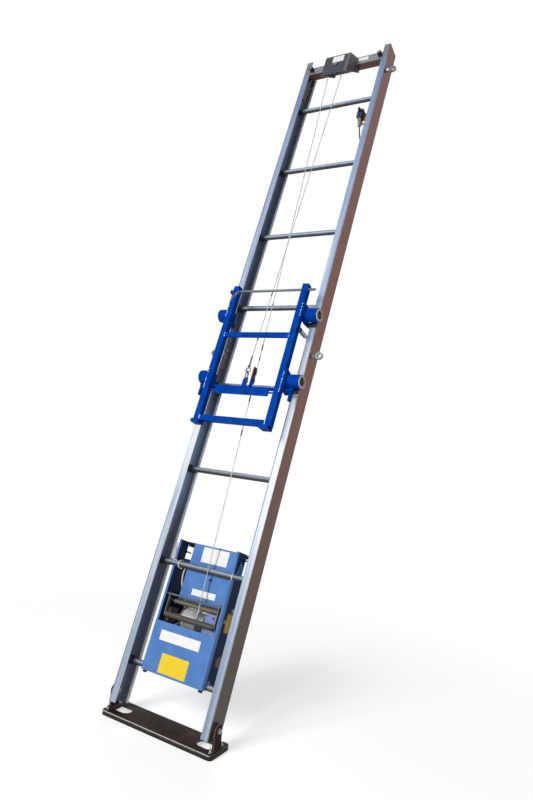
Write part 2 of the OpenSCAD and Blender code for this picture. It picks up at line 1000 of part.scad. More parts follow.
// Pointed plates outside the housing that stand on the second rung
module rung_hooks() {
    low = rung_two + rung_r + seat_gap;
    color("#a9adb2")
        on_ladder()
            both_sides()
                flat_plate([[rung_back - hook_front, low], [rung_back + hook_rear, low],
                    [rung_back + hook_rear, low + hook_h / 2], [rung_back, low + hook_h]],
                    winch_half, winch_half + hook_t);
}

// Wire clips round the front of the second rung, held by the panels behind it
module rung_clips() {
    bend = rung_r + seat_gap + clip_wire_d / 2;
    color("#d6d2c8")
        on_ladder()
            both_sides() {
                translate([clip_u, rung_back, rung_two])
                    rotate([0, 90, 0])
                        rotate([0, 0, 180])
                            rotate_extrude(angle = 180)
                                translate([bend, 0])
                                    circle(d = clip_wire_d);
                for (v = [rung_two - bend, rung_two + bend])
                    deep_round(clip_wire_d, rung_back, panel_back, clip_u, v);
            }
}

// Finned motor with its terminal box, bolted to the gearbox
module winch_motor() {
    run = gear_left - motor_left;
    color("#3a3f47")
        on_ladder() {
            cross_round(motor_d - 2 * motor_fin_h, motor_left, gear_left, motor_back, motor_v);
            cross_round(motor_cap_d, motor_left - motor_cap_t, motor_left, motor_back, motor_v);
            for (k = [0 : motor_fins - 1])
                let (u = motor_left + k * (run - motor_fin_t) / (motor_fins - 1))
                cross_round(motor_d, u, u + motor_fin_t, motor_back, motor_v);
            block([motor_left, motor_back - terminal_d / 2, motor_v],
                [motor_left + terminal_w, motor_back + terminal_d / 2, motor_v + motor_d / 2 + terminal_h]);
        }
}

// Gearbox between the motor and the drum, on bosses against the right side plate
module winch_gearbox() {
    color("#8f93c8")
        on_ladder()
            difference() {
                union() {
                    block([gear_left, gear_front, gear_low],
                        [gear_right, gear_front + gear_deep, gear_high]);
                    cross_round(disc_d, gear_right, winch_half + disc_out, motor_back, motor_v);
                    for (y = [gear_front + gear_boss_d, gear_front + gear_deep - gear_boss_d],
                            v = [gear_low + gear_boss_d, gear_high - gear_boss_d])
                        cross_round(gear_boss_d, gear_right, winch_in, y, v);
                }
                cross_round(drum_shaft_d + 2 * run_gap, gear_left - cut, shaft_right + shaft_play,
                    drum_back, drum_v);
                deep_round(plug_d, gear_front - cut, gear_front + plug_deep, gear_right - plug_inset,
                    gear_high - gear_boss_d);
            }
}

module drum_bearing() {
    color("#6d7178")
        on_ladder()
            difference() {
                block([-winch_in, drum_back - bearing_w / 2, drum_v - bearing_w / 2],
                    [-winch_in + bearing_t, drum_back + bearing_w / 2, drum_v + bearing_w / 2]);
                cross_round(drum_shaft_d + 2 * run_gap, -winch_in - cut, -winch_in + bearing_t + cut,
                    drum_back, drum_v);
            }
}

// Hinge rod of the pressure arms, axle of the guide roller and two rods at the back
module tie_rods() {
    color("#b9bcc0")
        on_ladder() {
            cross_round(rod_d, -winch_in, winch_in, rod_back, rod_v);
            cross_round(guide_axle_d, -winch_in, winch_in, guide_back, guide_v);
            for (v = [winch_low + rod_inset, winch_top - rod_drop])
                cross_round(rod_d, -winch_in, winch_in, winch_back - rod_inset / 2, v);
        }
}

module motor_lead() {
    color("#d8cfb8")
        on_ladder()
            tube(lead_route, lead_d, 8);
}

// Drum and rope

module rope_drum() {
    color("#a7a9ac")
        on_ladder() {
            cross_round(2 * drum_r, drum_left, drum_right, drum_back, drum_v);
            for (u = [drum_left, drum_right - drum_disc_t])
                cross_round(2 * drum_disc_r, u, u + drum_disc_t, drum_back, drum_v);
            cross_round(drum_shaft_d, shaft_left, shaft_right, drum_back, drum_v);
        }
}

// Point of the winding after i of its rings, from the drum's front and down round it
function wind_point(i) =
    let (a = 360 * i / loop_rings)
    [wind_start - wind_pitch * i / loop_rings, drum_back - wind_r * cos(a), drum_v - wind_r * sin(a)];

wind_rings = wind_loops * loop_rings;
wind_loop = [for (i = [0 : wind_rings]) wind_point(i)];
wind_path = concat([wind_loop[0] - rope_d * unit(wind_loop[1] - wind_loop[0])], wind_loop,
    [wind_loop[wind_rings] + rope_d * unit(wind_loop[wind_rings] - wind_loop[wind_rings - 1])]);
wind_gap = min([for (i = [0 : wind_rings - loop_rings]) norm(wind_loop[i + loop_rings] - wind_loop[i])])
    - rope_d;

module rope_winding() {
    echo(str("Least gap of the winding to itself: ", wind_gap, " mm"));
    color("#9b9a92")
        on_ladder()
            tube(wind_path, rope_d, wind_sides);
}

// Two arms that hang on the hinge rod and press the roller on the rope
module pressure_arms() {
    color("#8e9196")
        on_ladder()
            both_sides()
                difference() {
                    union() {
                        cross_round(arm_w, arm_u, arm_u + arm_t, rod_back, rod_v);
                        cross_round(arm_w, arm_u, arm_u + arm_t, press_back, drum_v);
                        flat_plate([[press_back - arm_w / 2, drum_v], [press_back + arm_w / 2, drum_v],
                            [rod_back + arm_w / 2, rod_v], [rod_back - arm_w / 2, rod_v]],
                            arm_u, arm_u + arm_t);
                    }
                    cross_round(rod_d + 2 * run_gap, arm_u - cut, arm_u + arm_t + cut, rod_back, rod_v);
                    cross_round(press_axle_d + 2 * run_gap, arm_u - cut, arm_u + arm_t + cut,
                        press_back, drum_v);
                }
}

module pressure_roller() {
    color("#4a463f")
        on_ladder() {
            cross_round(press_roller_d, -press_half, press_half, press_back, drum_v);
            cross_round(press_axle_d, -arm_u - arm_t, arm_u + arm_t, press_back, drum_v);
        }
}

module guide_roller() {
    color("#8a7f4e")
        on_ladder()
            difference() {
                cross_round(guide_roller_d, -press_half, press_half, guide_back, guide_v);
                cross_round(guide_axle_d + 2 * run_gap, -press_half - cut, press_half + cut,
                    guide_back, guide_v);
            }
}

// Rope from the drum's front up to the head pulley and over it
module hoist_rope() {
    front = drum_back - wind_r;
    over = [for (k = [0 : pulley_steps])
        let (a = 180 - 180 * k / pulley_steps)
        [pulley_r * cos(a), -pulley_front, pulley_v + pulley_r * sin(a)]];
    color("#a5a59f")
        on_ladder()
            tube(concat([[rope_u, front, drum_v], [rope_u, front, drum_v + rope_d]],
                [[-pulley_r, -pulley_front, pulley_v - rope_d]], over,
                [[pulley_r, -pulley_front, pulley_v - rope_d]]), rope_d, 8);
}

// Rope from the head pulley down to the ferrule on the carriage
module carriage_rope() {
    color("#a5a59f")
        on_ladder()
            tube([[pulley_r, -pulley_front, pulley_v - rope_d],
                [pulley_r, -pulley_front, pulley_v - 2 * rope_d],
                [lug_u, -lug_front, ferrule_top + rope_d],
                [lug_u, -lug_front, ferrule_top]], rope_d, 8);
}

// Carriage frame

module side_bars() {
    top = carriage_rest + carriage_len;
    color("#0042b0")
        on_ladder()
            both_sides()
                difference() {
                    block([bar_in, -frame_front, carriage_rest], [bar_out, -bar_rear, top]);
                    block([bar_in + bar_wall, -frame_front + bar_wall, carriage_rest - cut],
                        [bar_out - bar_wall, -bar_rear - bar_wall, top - bar_wall]);
                    cross_round(lock_rod_d + 2 * run_gap, bar_in - cut, bar_out + cut,
                        -lock_rod_front, lock_rod_v);
                }
}

// Square tube across the frame, from the frame's front face back by its depth
module frame_tube(v, h, d) {
    difference() {
        block([-bar_in, -frame_front, v], [bar_in, -frame_front + d, v + h]);
        block([-bar_in - cut, -frame_front + bar_wall, v + bar_wall],
            [bar_in + cut, -frame_front + d - bar_wall, v + h - bar_wall]);
    }
}

// Two tubes, and the flat bar with the rope lug held by its narrow ends
module cross_bars() {
    color("#0042b0")
        on_ladder() {
            frame_tube(top_bar_v, top_bar_h, top_bar_d);
            frame_tube(carriage_rest, low_bar_h, bar_d);
            difference() {
                union() {
                    block([-bar_in, -lug_front - lug_bar_t / 2, lug_bar_v + lug_bar_h - lug_tab_h],
                        [bar_in, -lug_front + lug_bar_t / 2, lug_bar_v + lug_bar_h]);
                    block([lug_tab_l - bar_in, -lug_front - lug_bar_t / 2, lug_bar_v],
                        [bar_in - lug_tab_l, -lug_front + lug_bar_t / 2, lug_bar_v + lug_bar_h]);
                    block([lug_u - lug_w / 2, -lug_front - lug_bar_t / 2, lug_bar_v],
                        [lug_u + lug_w / 2, -lug_front + lug_bar_t / 2, lug_hole_v + lug_w / 2]);
                }
                deep_round(lug_hole_d, -lug_front - lug_bar_t, -lug_front + lug_bar_t, lug_u, lug_hole_v);
            }
        }
}

// Plate on the outside of a side bar, from the frame's front back to the shoe behind the flange
module gusset(v, bored) {
    low = v + (bored ? 0 : gusset_short);
    difference() {
        flat_plate([[-gusset_front, low - gusset_nose], [-gusset_front, v + gusset_up],
            [-roller_front, v + roller_r], [-gusset_toe, v + gusset_toe_up], [-gusset_toe, v - shoe_top],
            [gusset_tail, v - shoe_top], [gusset_tail, v - shoe_top - shoe_h],
            [-roller_front, low - gusset_down]],
            gusset_in, gusset_out);
        if (bored)
            cross_round(catch_d + 2 * run_gap, gusset_in - cut, gusset_out + cut, -catch_front, catch_v);
    }
}

module gussets() {
    color("#003796")
        on_ladder()
            both_sides() {
                gusset(upper_axle_v, false);
                gusset(lower_axle_v, true);
            }
}

// Axle stub with its shoulder, and the washer and bolt head that keep the roller on
module roller_axle(v) {
    cross_round(shoulder_d, gusset_out, roller_u - side_gap, -roller_front, v);
    cross_round(axle_d, gusset_out, washer_u, -roller_front, v);
    cross_round(washer_d, washer_u, washer_u + washer_t, -roller_front, v);
    cross_round(bolt_head_d, washer_u + washer_t, bolt_end, -roller_front, v, $fn = 6);
}

module roller_axles() {
    color("#8b9097")
        on_ladder()
            both_sides()
                for (v = [upper_axle_v, lower_axle_v])
                    roller_axle(v);
}

// Plastic shoe that grips the front flange from its inner edge
module guide_shoe(v) {
    translate([0, 0, v - shoe_top - shoe_h])
        linear_extrude(shoe_h)
            polygon([[gusset_out, -face_gap - shoe_front_t],
                [gusset_out + shoe_reach, -face_gap - shoe_front_t],
                [gusset_out + shoe_reach, -face_gap],
                [gusset_out + shoe_web, -face_gap],
                [gusset_out + shoe_web, rail_wall + face_gap],
                [gusset_out + shoe_hold, rail_wall + face_gap],
                [gusset_out + shoe_hold, gusset_tail],
                [gusset_out, gusset_tail]]);
}

module guide_shoes() {
    color("#151515")
        on_ladder()
            both_sides()
                for (v = [upper_axle_v, lower_axle_v])
                    guide_shoe(v);
}

// Steel shell of the right roller on the axle at v
module roller_shell(v) {
    color("#0a4cc0")
        difference() {
            cross_round(roller_d, roller_u, roller_u + roller_len, -roller_front, v);
            cross_round(roller_d - 2 * shell_t, roller_u - cut, roller_u + roller_len + cut,
                -roller_front, v);
        }
}

// Nylon bush inside the shell, with a flange and a recess for the axle's bolt
module roller_bush(v) {
    color("#d9cfa8")
        difference() {
            union() {
                cross_round(roller_d - 2 * shell_t, roller_u, roller_u + roller_len, -roller_front, v);
                cross_round(bush_flange_d, roller_u + roller_len, bush_end, -roller_front, v);
            }
            cross_round(axle_d + 2 * run_gap, roller_u - cut, bush_end, -roller_front, v);
            cross_round(recess_d, bush_end - recess_deep, bush_end + cut, -roller_front, v);
        }
}

module upper_left_roller() {
    on_ladder()
        mirror([1, 0, 0])
            roller_shell(upper_axle_v);
}

module upper_right_roller() {
    on_ladder()
        roller_shell(upper_axle_v);
}

module lower_left_roller() {
    on_ladder()
        mirror([1, 0, 0])
            roller_shell(lower_axle_v);
}

module lower_right_roller() {
    on_ladder()
        roller_shell(lower_axle_v);
}

module upper_left_bush() {
    on_ladder()
        mirror([1, 0, 0])
            roller_bush(upper_axle_v);
}

module upper_right_bush() {
    on_ladder()
        roller_bush(upper_axle_v);
}

module lower_left_bush() {
    on_ladder()
        mirror([1, 0, 0])
            roller_bush(lower_axle_v);
}

module lower_right_bush() {
    on_ladder()
        roller_bush(lower_axle_v);
}

// Hooked lips under the side bars that carry the load platform
module bottom_lips() {
    front = frame_front + lip_out;
    floor_v = carriage_rest - lip_h;
    color("#0042b0")
        on_ladder()
            both_sides()
                flat_plate([[-bar_rear, carriage_rest], [-bar_rear - lip_t, carriage_rest],
                    [-bar_rear - lip_t, floor_v + lip_t], [lip_t - front, floor_v + lip_t],
                    [lip_t - front, carriage_rest], [-front, carriage_rest], [-front, floor_v],
                    [-bar_rear, floor_v]], bar_in - lip_inside, bar_out);
}

// Peg that trips the limit switch, on a rubber block beside the right side bar
module striker_peg() {
    color("#2a2a2a")
        on_ladder() {
            block([bar_out, -peg_front - peg_base_l, peg_v - peg_base_w],
                [bar_out + peg_base_w, -peg_front, peg_v + peg_base_w]);
            deep_round(peg_d, -peg_front, peg_tip, bar_out + peg_base_w / 2, peg_v);
        }
}

// Rod through the tops of the side bars: a head at the left, a ring groove near the free end
module lock_rod() {
    groove_in = bar_out + lock_groove_out;
    color("#9aa0a6")
        on_ladder() {
            cross_round(lock_rod_d, -bar_out - lock_rod_tail, groove_in, -lock_rod_front, lock_rod_v);
            cross_round(lock_groove_d, groove_in, groove_in + lock_groove_w, -lock_rod_front, lock_rod_v);
            cross_round(lock_rod_d, groove_in + lock_groove_w, bar_out + lock_rod_free,
                -lock_rod_front, lock_rod_v);
            cross_round(lock_head_d, -bar_out - lock_rod_tail - lock_head_t, -bar_out - lock_rod_tail,
                -lock_rod_front, lock_rod_v);
        }
}

// Shaft with a claw at each end and the rope's slack lever
module safety_catch() {
    color("#003c9e")
        on_ladder() {
            cross_round(catch_d, -claw_u - claw_t - catch_tip, claw_u + claw_t + catch_tip,
                -catch_front, catch_v);
            both_sides() {
                cross_round(catch_boss_d, claw_u, claw_u + claw_t, -catch_front, catch_v);
                block([claw_u, -catch_front - claw_w / 2, catch_v - claw_len],
                    [claw_u + claw_t, -catch_front + claw_w / 2, catch_v]);
            }
            cross_round(catch_boss_d, slack_u, slack_u + slack_t, -catch_front, catch_v);
            block([slack_u, -catch_front - slack_w / 2, catch_v],
                [slack_u + slack_t, -catch_front + slack_w / 2, catch_v + slack_len]);
        }
}

// Bow shackle on the lug, the rope's thimble through it and the ferrule above
module rope_shackle() {
    bow_v = lug_hole_v + shackle_leg;
    color("#c4c6c8")
        on_ladder() {
            deep_round(shackle_pin_d, -lug_front - shackle_r - shackle_wire,
                -lug_front + shackle_r + shackle_wire, lug_u, lug_hole_v);
            for (y = [-lug_front - shackle_r, -lug_front + shackle_r])
                translate([lug_u, y, lug_hole_v])
                    cylinder(d = shackle_wire, h = shackle_leg);
            translate([lug_u, -lug_front, bow_v])
                rotate([90, 0, 90])
                    rotate_extrude(angle = 180)
                        translate([shackle_r, 0])
                            circle(d = shackle_wire);
            difference() {
                union() {
                    deep_round(2 * thimble_r, -lug_front - thimble_t / 2, -lug_front + thimble_t / 2,
                        lug_u, thimble_v);
                    translate([lug_u, -lug_front, thimble_v + thimble_r - thimble_t / 2])
                        cylinder(d = ferrule_d, h = ferrule_top - thimble_v - thimble_r + thimble_t / 2);
                }
                deep_round(2 * thimble_hole_r, -lug_front - thimble_t, -lug_front + thimble_t,
                    lug_u, thimble_v);
            }
        }
}

foot_plate();
foot_pad();
foot_ears();
foot_studs();
pivot_bolts();
left_lower_rail();
right_lower_rail();
left_upper_rail();
right_upper_rail();
head_rails();
lower_rungs();
upper_rungs();
joint_plates();
eye_bolts();
head_beam();
pulley_box();
pulley_axle();
head_pulley();
head_buffers();
switch_bracket();
switch_body();
switch_lever();
switch_cable();
winch_left_side();
winch_right_side();
winch_front_cover();
winch_mid_cover();
winch_top_cover();
rung_hooks();
rung_clips();
winch_motor();
winch_gearbox();
drum_bearing();
tie_rods();
motor_lead();
rope_drum();
rope_winding();
pressure_arms();
pressure_roller();
guide_roller();
hoist_rope();
side_bars();
cross_bars();
gussets();
roller_axles();
guide_shoes();
bottom_lips();
striker_peg();
upper_left_roller();
upper_right_roller();
lower_left_roller();
lower_right_roller();
upper_left_bush();
upper_right_bush();
lower_left_bush();
lower_right_bush();
lock_rod();
safety_catch();
rope_shackle();
carriage_rope();
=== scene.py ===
"""Leaning ladder hoist: finishes, ropes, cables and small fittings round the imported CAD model.

Lengths are in millimetres in the ladder's own frame (across, back, up the rails) unless a name says
otherwise; on_ladder() brings them to the row frame in metres.
"""
import math

import bpy
import numpy as np
from mathutils import Matrix, Vector


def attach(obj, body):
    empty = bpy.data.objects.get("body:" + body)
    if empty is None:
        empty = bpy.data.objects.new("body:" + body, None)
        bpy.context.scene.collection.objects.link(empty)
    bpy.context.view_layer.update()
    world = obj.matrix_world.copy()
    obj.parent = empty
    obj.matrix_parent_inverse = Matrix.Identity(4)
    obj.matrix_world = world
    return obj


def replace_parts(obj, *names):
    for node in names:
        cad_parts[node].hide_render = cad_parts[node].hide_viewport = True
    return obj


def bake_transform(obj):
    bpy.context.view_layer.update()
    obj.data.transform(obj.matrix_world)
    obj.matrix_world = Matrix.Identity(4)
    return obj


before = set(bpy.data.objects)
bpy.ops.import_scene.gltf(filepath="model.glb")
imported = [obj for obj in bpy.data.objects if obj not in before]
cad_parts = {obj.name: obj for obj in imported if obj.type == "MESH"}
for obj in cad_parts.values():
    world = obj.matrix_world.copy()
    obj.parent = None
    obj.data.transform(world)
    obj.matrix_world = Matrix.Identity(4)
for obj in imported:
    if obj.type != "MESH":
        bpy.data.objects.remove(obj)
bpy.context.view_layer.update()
TAU, MM = 2 * math.pi, 1000
FRONT, BACK, RIGHT, UP, DOWN = (0, -1, 0), (0, 1, 0), (1, 0, 0), (0, 0, 1), (0, 0, -1)
SIDES = (-1, 1)

# The ladder's place: it leans about the foot's hinge
LEAN = math.radians(18.7)
HINGE_IN_ROW = (-7, 104)
HINGE_ON_LADDER = (40, 50)

# Rails, rungs and joints
HALF_W, JOINT_IN = 295, 285
RUNG_R, RUNG_FIRST, RUNG_PITCH = 15, 195, 500
SECTION_JOINT, HEAD_JOINT = 1945, 3945

# Eye bolts: side and place up the rails
EYES, EYE_BACK, EYE_COLLAR_T = ((-1, 1880), (1, 1880), (1, 3868)), 30, 6

# Head
PULLEY_R, PULLEY_FRONT, PULLEY_V = 49, 72, 3868
BOX_FRONT, BEAM_FRONT, BEAM_MID = 95, 5, 3982
BUFFER_U, BUFFER_END = 240, -23
SWITCH_U, SWITCH_FRONT, SWITCH_V = 218, -20, 3512

# Winch
WINCH_HALF, WINCH_IN, WINCH_LOW, WINCH_TOP = 182, 179, 178, 815
COVER_FRONT, PANEL_FRONT = 22, 85
DRUM_V, DRUM_BACK = 448, 116
WIND_R, WIND_PITCH, WIND_START, WIND_LOOPS = 59.2, 5.6, 21.1, 15
GEAR_LEFT, GEAR_RIGHT, GEAR_FRONT, GEAR_LOW, GEAR_HIGH = 70, 172, 62, 240, 503

# Wire rope: its strands wind once round it in a lay, with grooves of that share of its radius between them
ROPE_R, ROPE_U, ROPE_LAY, STRANDS, GROOVE = 2.5, 27, 34, 6, 0.16
ROPE_LEAVES = PULLEY_V - 5

# Carriage
FRAME_FRONT, BAR_IN = 100, 204
AXLE_VS = (2085, 1697)
LUG_U, LUG_FRONT, FERRULE_TOP = 4, 80, 1790
ROPE_END_SHARE = 0.06
LOCK_ROD_V, LOCK_ROD_FRONT = 2212, 89.5


def on_ladder(points):
    """Millimetres on the ladder to metres in the row frame: a turn by the lean about the foot's hinge."""
    u, y, v = np.moveaxis(np.asarray(points, float), -1, 0)
    back, up = y - HINGE_ON_LADDER[0], v - HINGE_ON_LADDER[1]
    cos, sin = math.cos(LEAN), math.sin(LEAN)
    row_y = HINGE_IN_ROW[0] + back * cos + up * sin
    row_z = HINGE_IN_ROW[1] - back * sin + up * cos
    return np.stack([u, row_y, row_z], -1) / MM


def from_row(points):
    """Row millimetres to millimetres on the ladder: the turn of on_ladder() undone."""
    x, y, z = np.moveaxis(np.asarray(points, float), -1, 0)
    y, z = y - HINGE_IN_ROW[0], z - HINGE_IN_ROW[1]
    cos, sin = math.cos(LEAN), math.sin(LEAN)
    return np.stack([x, HINGE_ON_LADDER[0] + y * cos - z * sin, HINGE_ON_LADDER[1] + y * sin + z * cos], -1)


def unit(vectors):
    """Each vector over its own length."""
    vectors = np.asarray(vectors, float)
    return vectors / np.linalg.norm(vectors, axis=-1, keepdims=True)


# Shapes: every one is a grid of points, worked out as whole arrays in the ladder's frame

def grid_faces(rows, columns, first, flip):
    """Quads of a grid that closes on itself along its columns, then an end cap on each end row."""
    i, j = np.meshgrid(np.arange(rows - 1), np.arange(columns), indexing="ij")
    a, b = i * columns + j, i * columns + (j + 1) % columns
    quads = np.stack([a, b, b + columns, a + columns], -1).reshape(-1, 4) + first
    ends = [np.arange(columns)[::-1] + first, np.arange(columns) + (rows - 1) * columns + first]
    faces = [list(f) for f in quads] + [list(f) for f in ends]
    return [f[::-1] for f in faces] if flip else faces


def piece(name, grids, material, body="ladder", smooth=True):
    """One object from several closed grids of rows of points, placed on the ladder; it rides on the body.

    A grid whose side faces look inwards, by the sum of area . (point - middle), has its faces turned round.
    Edges of more than 35 degrees stay sharp."""
    points, faces, count = [], [], 0
    for grid in grids:
        rows, columns = grid.shape[:2]
        closed = grid.reshape(-1, 3)
        area = np.cross((np.roll(grid, -1, 1) - grid)[:-1], np.diff(grid, axis=0))
        outwards = np.einsum("ijk,ijk->", area, grid[:-1] - closed.mean(0))
        points.append(closed)
        faces += grid_faces(rows, columns, count, outwards < 0)
        count += rows * columns
    mesh = bpy.data.meshes.new(name)
    mesh.from_pydata(on_ladder(np.concatenate(points)).tolist(), [], faces)
    mesh.validate()
    mesh.update()
    if smooth:
        mesh.shade_smooth()
        mesh.set_sharp_from_angle(angle=math.radians(35))
    mesh.materials.append(material)
    obj = bpy.data.objects.new(name, mesh)
    bpy.context.scene.collection.objects.link(obj)
    if body:
        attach(obj, body)
    return obj


def sweep(path, radius, sides, across=BACK, lobes=0, lay=1, depth=0):
    """Round profile carried along a path.

    With lobes, the radius is r (1 - depth |sin(lobes/2 (angle - 2 pi s / lay))|), so that the strands wind
    round the run s of the path."""
    path = np.asarray(path, float)
    run = unit(np.gradient(path, axis=0))
    a = unit(np.cross(run, across))
    b = np.cross(run, a)
    angle = np.linspace(0, TAU, sides, endpoint=False)
    s = np.concatenate([[0], np.cumsum(np.linalg.norm(np.diff(path, axis=0), axis=1))])
    r = np.broadcast_to(np.asarray(radius, float), s.shape)[:, None]
    r = r * (1 - depth * np.abs(np.sin(lobes / 2 * (angle[None] - TAU * s[:, None] / lay))))
    spokes = a[:, None] * np.cos(angle)[None, :, None] + b[:, None] * np.sin(angle)[None, :, None]
    return path[:, None] + r[..., None] * spokes


def stranded(path, radius=ROPE_R, sides=18, across=BACK):
    """Wire rope along a path: a sweep with the rope's strands."""
    return sweep(path, radius, sides, across, STRANDS, ROPE_LAY, GROOVE)


def turned(profile, at, axis, sides=24):
    """Profile of (radius, height) pairs turned about an axis through a point."""
    profile, axis = np.asarray(profile, float), unit(axis)
    a = unit(np.cross(axis, UP if abs(axis[2]) < 0.9 else BACK))
    b = np.cross(axis, a)
    angle = np.linspace(0, TAU, sides, endpoint=False)
    spokes = a * np.cos(angle)[:, None] + b * np.sin(angle)[:, None]
    return np.asarray(at, float) + profile[:, :1, None] * spokes[None] + profile[:, 1:, None] * axis


def slab(centre, right, up, size, thick, corner, soft=0.3):
    """Flat plate: a rounded rectangle, its edge profile eased by soft, standing thick out of its plane.

    Its outline is corner place + corner radius (cos t, sin t), with t a quarter turn on at each corner."""
    right, up = unit(right), unit(up)
    quarter = np.linspace(0, TAU / 4, 6)
    turn = np.concatenate([quarter + k * TAU / 4 for k in range(4)])
    rounds = np.stack([np.cos(turn), np.sin(turn)], -1)
    corners = np.repeat([(1, 1), (-1, 1), (-1, -1), (1, -1)], len(quarter), 0)
    insets = np.array([soft, 0, 0, soft])[:, None, None]
    heights = np.array([0, 0, thick - soft, thick])[:, None, None]
    flat = corners * (np.asarray(size, float) / 2 - corner) + (corner - insets) * rounds
    return (np.asarray(centre, float) + flat[..., :1] * right + flat[..., 1:] * up
            + heights * np.cross(right, up))


def smooth_path(points, step):
    """Catmull-Rom curve through the points of a route, with a point about every step."""
    p = np.asarray(points, float)
    p = np.concatenate([[2 * p[0] - p[1]], p, [2 * p[-1] - p[-2]]])
    runs = []
    for p0, p1, p2, p3 in zip(p[:-3], p[1:-2], p[2:-1], p[3:]):
        count = max(2, int(np.linalg.norm(p2 - p1) / step))
        t = np.linspace(0, 1, count, endpoint=False)[:, None]
        runs.append(0.5 * (2 * p1 + (p2 - p0) * t + (2 * p0 - 5 * p1 + 4 * p2 - p3) * t**2
                           + (3 * p1 - p0 - 3 * p2 + p3) * t**3))
    return np.concatenate(runs + [p[-2][None]])


def hex_heads(places, across_flats, height, washer=0):
    """Hexagon heads with an eased crown, each at a point on an axis, on a round washer of that radius."""
    r, base = across_flats / math.sqrt(3), 0.16 * washer
    crown = [(r, base), (r, base + 0.85 * height), (0.86 * r, base + height)]
    grids = [turned(crown, at, axis, 6) for at, axis in places]
    if washer:
        disc = [(washer, 0), (washer, 0.8 * base), (washer - 0.4, base)]
        grids += [turned(disc, at, axis) for at, axis in places]
    return grids


def dome_head(at, axis, r, height):
    """Round screw head: the radius falls as the cosine of the climb, round a small drive recess."""
    climb = np.linspace(0, 0.8, 5) * TAU / 4
    shell = np.stack([r * np.cos(climb), height * np.sin(climb)], -1)
    recess = [(r * 0.30, height * 0.93), (r * 0.26, height * 0.45), (r * 0.05, height * 0.40)]
    return turned(np.concatenate([[(r, -0.2)], shell, recess]), at, axis, 18)


def bead(path, r, across=BACK, ripple=5):
    """Weld bead: a tube whose radius swells by |sin| along its run, once for every ripple of millimetres."""
    start, end = np.asarray(path, float)
    length = np.linalg.norm(end - start)
    t = np.linspace(0, 1, max(8, int(4 * length / ripple)))
    swell = 0.78 + 0.22 * np.abs(np.sin(math.pi * t * length / ripple))
    ends = np.minimum(1, 8 * np.minimum(t, 1 - t) + 0.35)
    return sweep(start + t[:, None] * (end - start), r * swell * ends, 8, across)


def ring(centre, first, second, long, wide, wire):
    """Round wire bent to an ellipse: centre + long/2 cos t first + wide/2 sin t second."""
    t = np.linspace(0, TAU, 25)[:, None]
    first, second = unit(first), unit(second)
    path = np.asarray(centre, float) + long / 2 * np.cos(t) * first + wide / 2 * np.sin(t) * second
    return sweep(path, wire / 2, 8, np.cross(first, second))


# Finishes. Streaks, brush marks and grain are drawn coarser than the real ones, which are too fine to show.

TIMES, MINUS, MOST = ({"operation": name} for name in ("MULTIPLY", "SUBTRACT", "MAXIMUM"))

# The noise's usual span, the noise over which specks come up and over which the edges' colour breaks off, and
# the cosines between which an edge is rubbed or given a painted highlight
NOISE_LOW, NOISE_HIGH, SPECK_NOISE, BREAK, EDGE_COSINES = 0.3, 0.7, (0.58, 0.70), 0.12, (0.99, 0.86)


def linear(code):
    """sRGB hex colour as linear RGBA: ((c + 0.055) / 1.055) ^ 2.4, or c / 12.92 where it is dark."""
    c = np.array([int(code[k:k + 2], 16) for k in (1, 3, 5)]) / 255
    c = np.where(c <= 0.04045, c / 12.92, ((c + 0.055) / 1.055) ** 2.4)
    return (*c.tolist(), 1)


def add(tree, kind, settings=None, stops=(), out=0, **inputs):
    """Adds one node with its settings and, on a colour ramp, its (place, hex) stops.

    Inputs are named, or numbered as i0, i1, and get a value or a link. Gives back the output of that name or
    number, or all of them for None."""
    made = tree.nodes.new("ShaderNode" + kind)
    for key, value in (settings or {}).items():
        setattr(made, key, value)
    if stops:
        elements = made.color_ramp.elements
        while len(elements) < len(stops):
            elements.new(0.5)
        for element, (place, code) in zip(elements, stops):
            element.position, element.color = place, linear(code)
    for key, value in inputs.items():
        socket = made.inputs[int(key[1:])] if key[1:].isdigit() else made.inputs[key.replace("_", " ")]
        if isinstance(value, bpy.types.NodeSocket):
            tree.links.new(value, socket)
        else:
            socket.default_value = value
    return made.outputs if out is None else made.outputs[out]


def band(tree, value, low, high, fade=0.1):
    """1 where the value lies between low and high, in millimetres, falling to 0 over the fade outside."""
    rise = add(tree, "MapRange", Value=value, From_Min=(low - fade) / MM, From_Max=low / MM)
    fall = add(tree, "MapRange", Value=value, From_Min=(high + fade) / MM, From_Max=high / MM)
    return add(tree, "Math", TIMES, i0=rise, i1=fall)


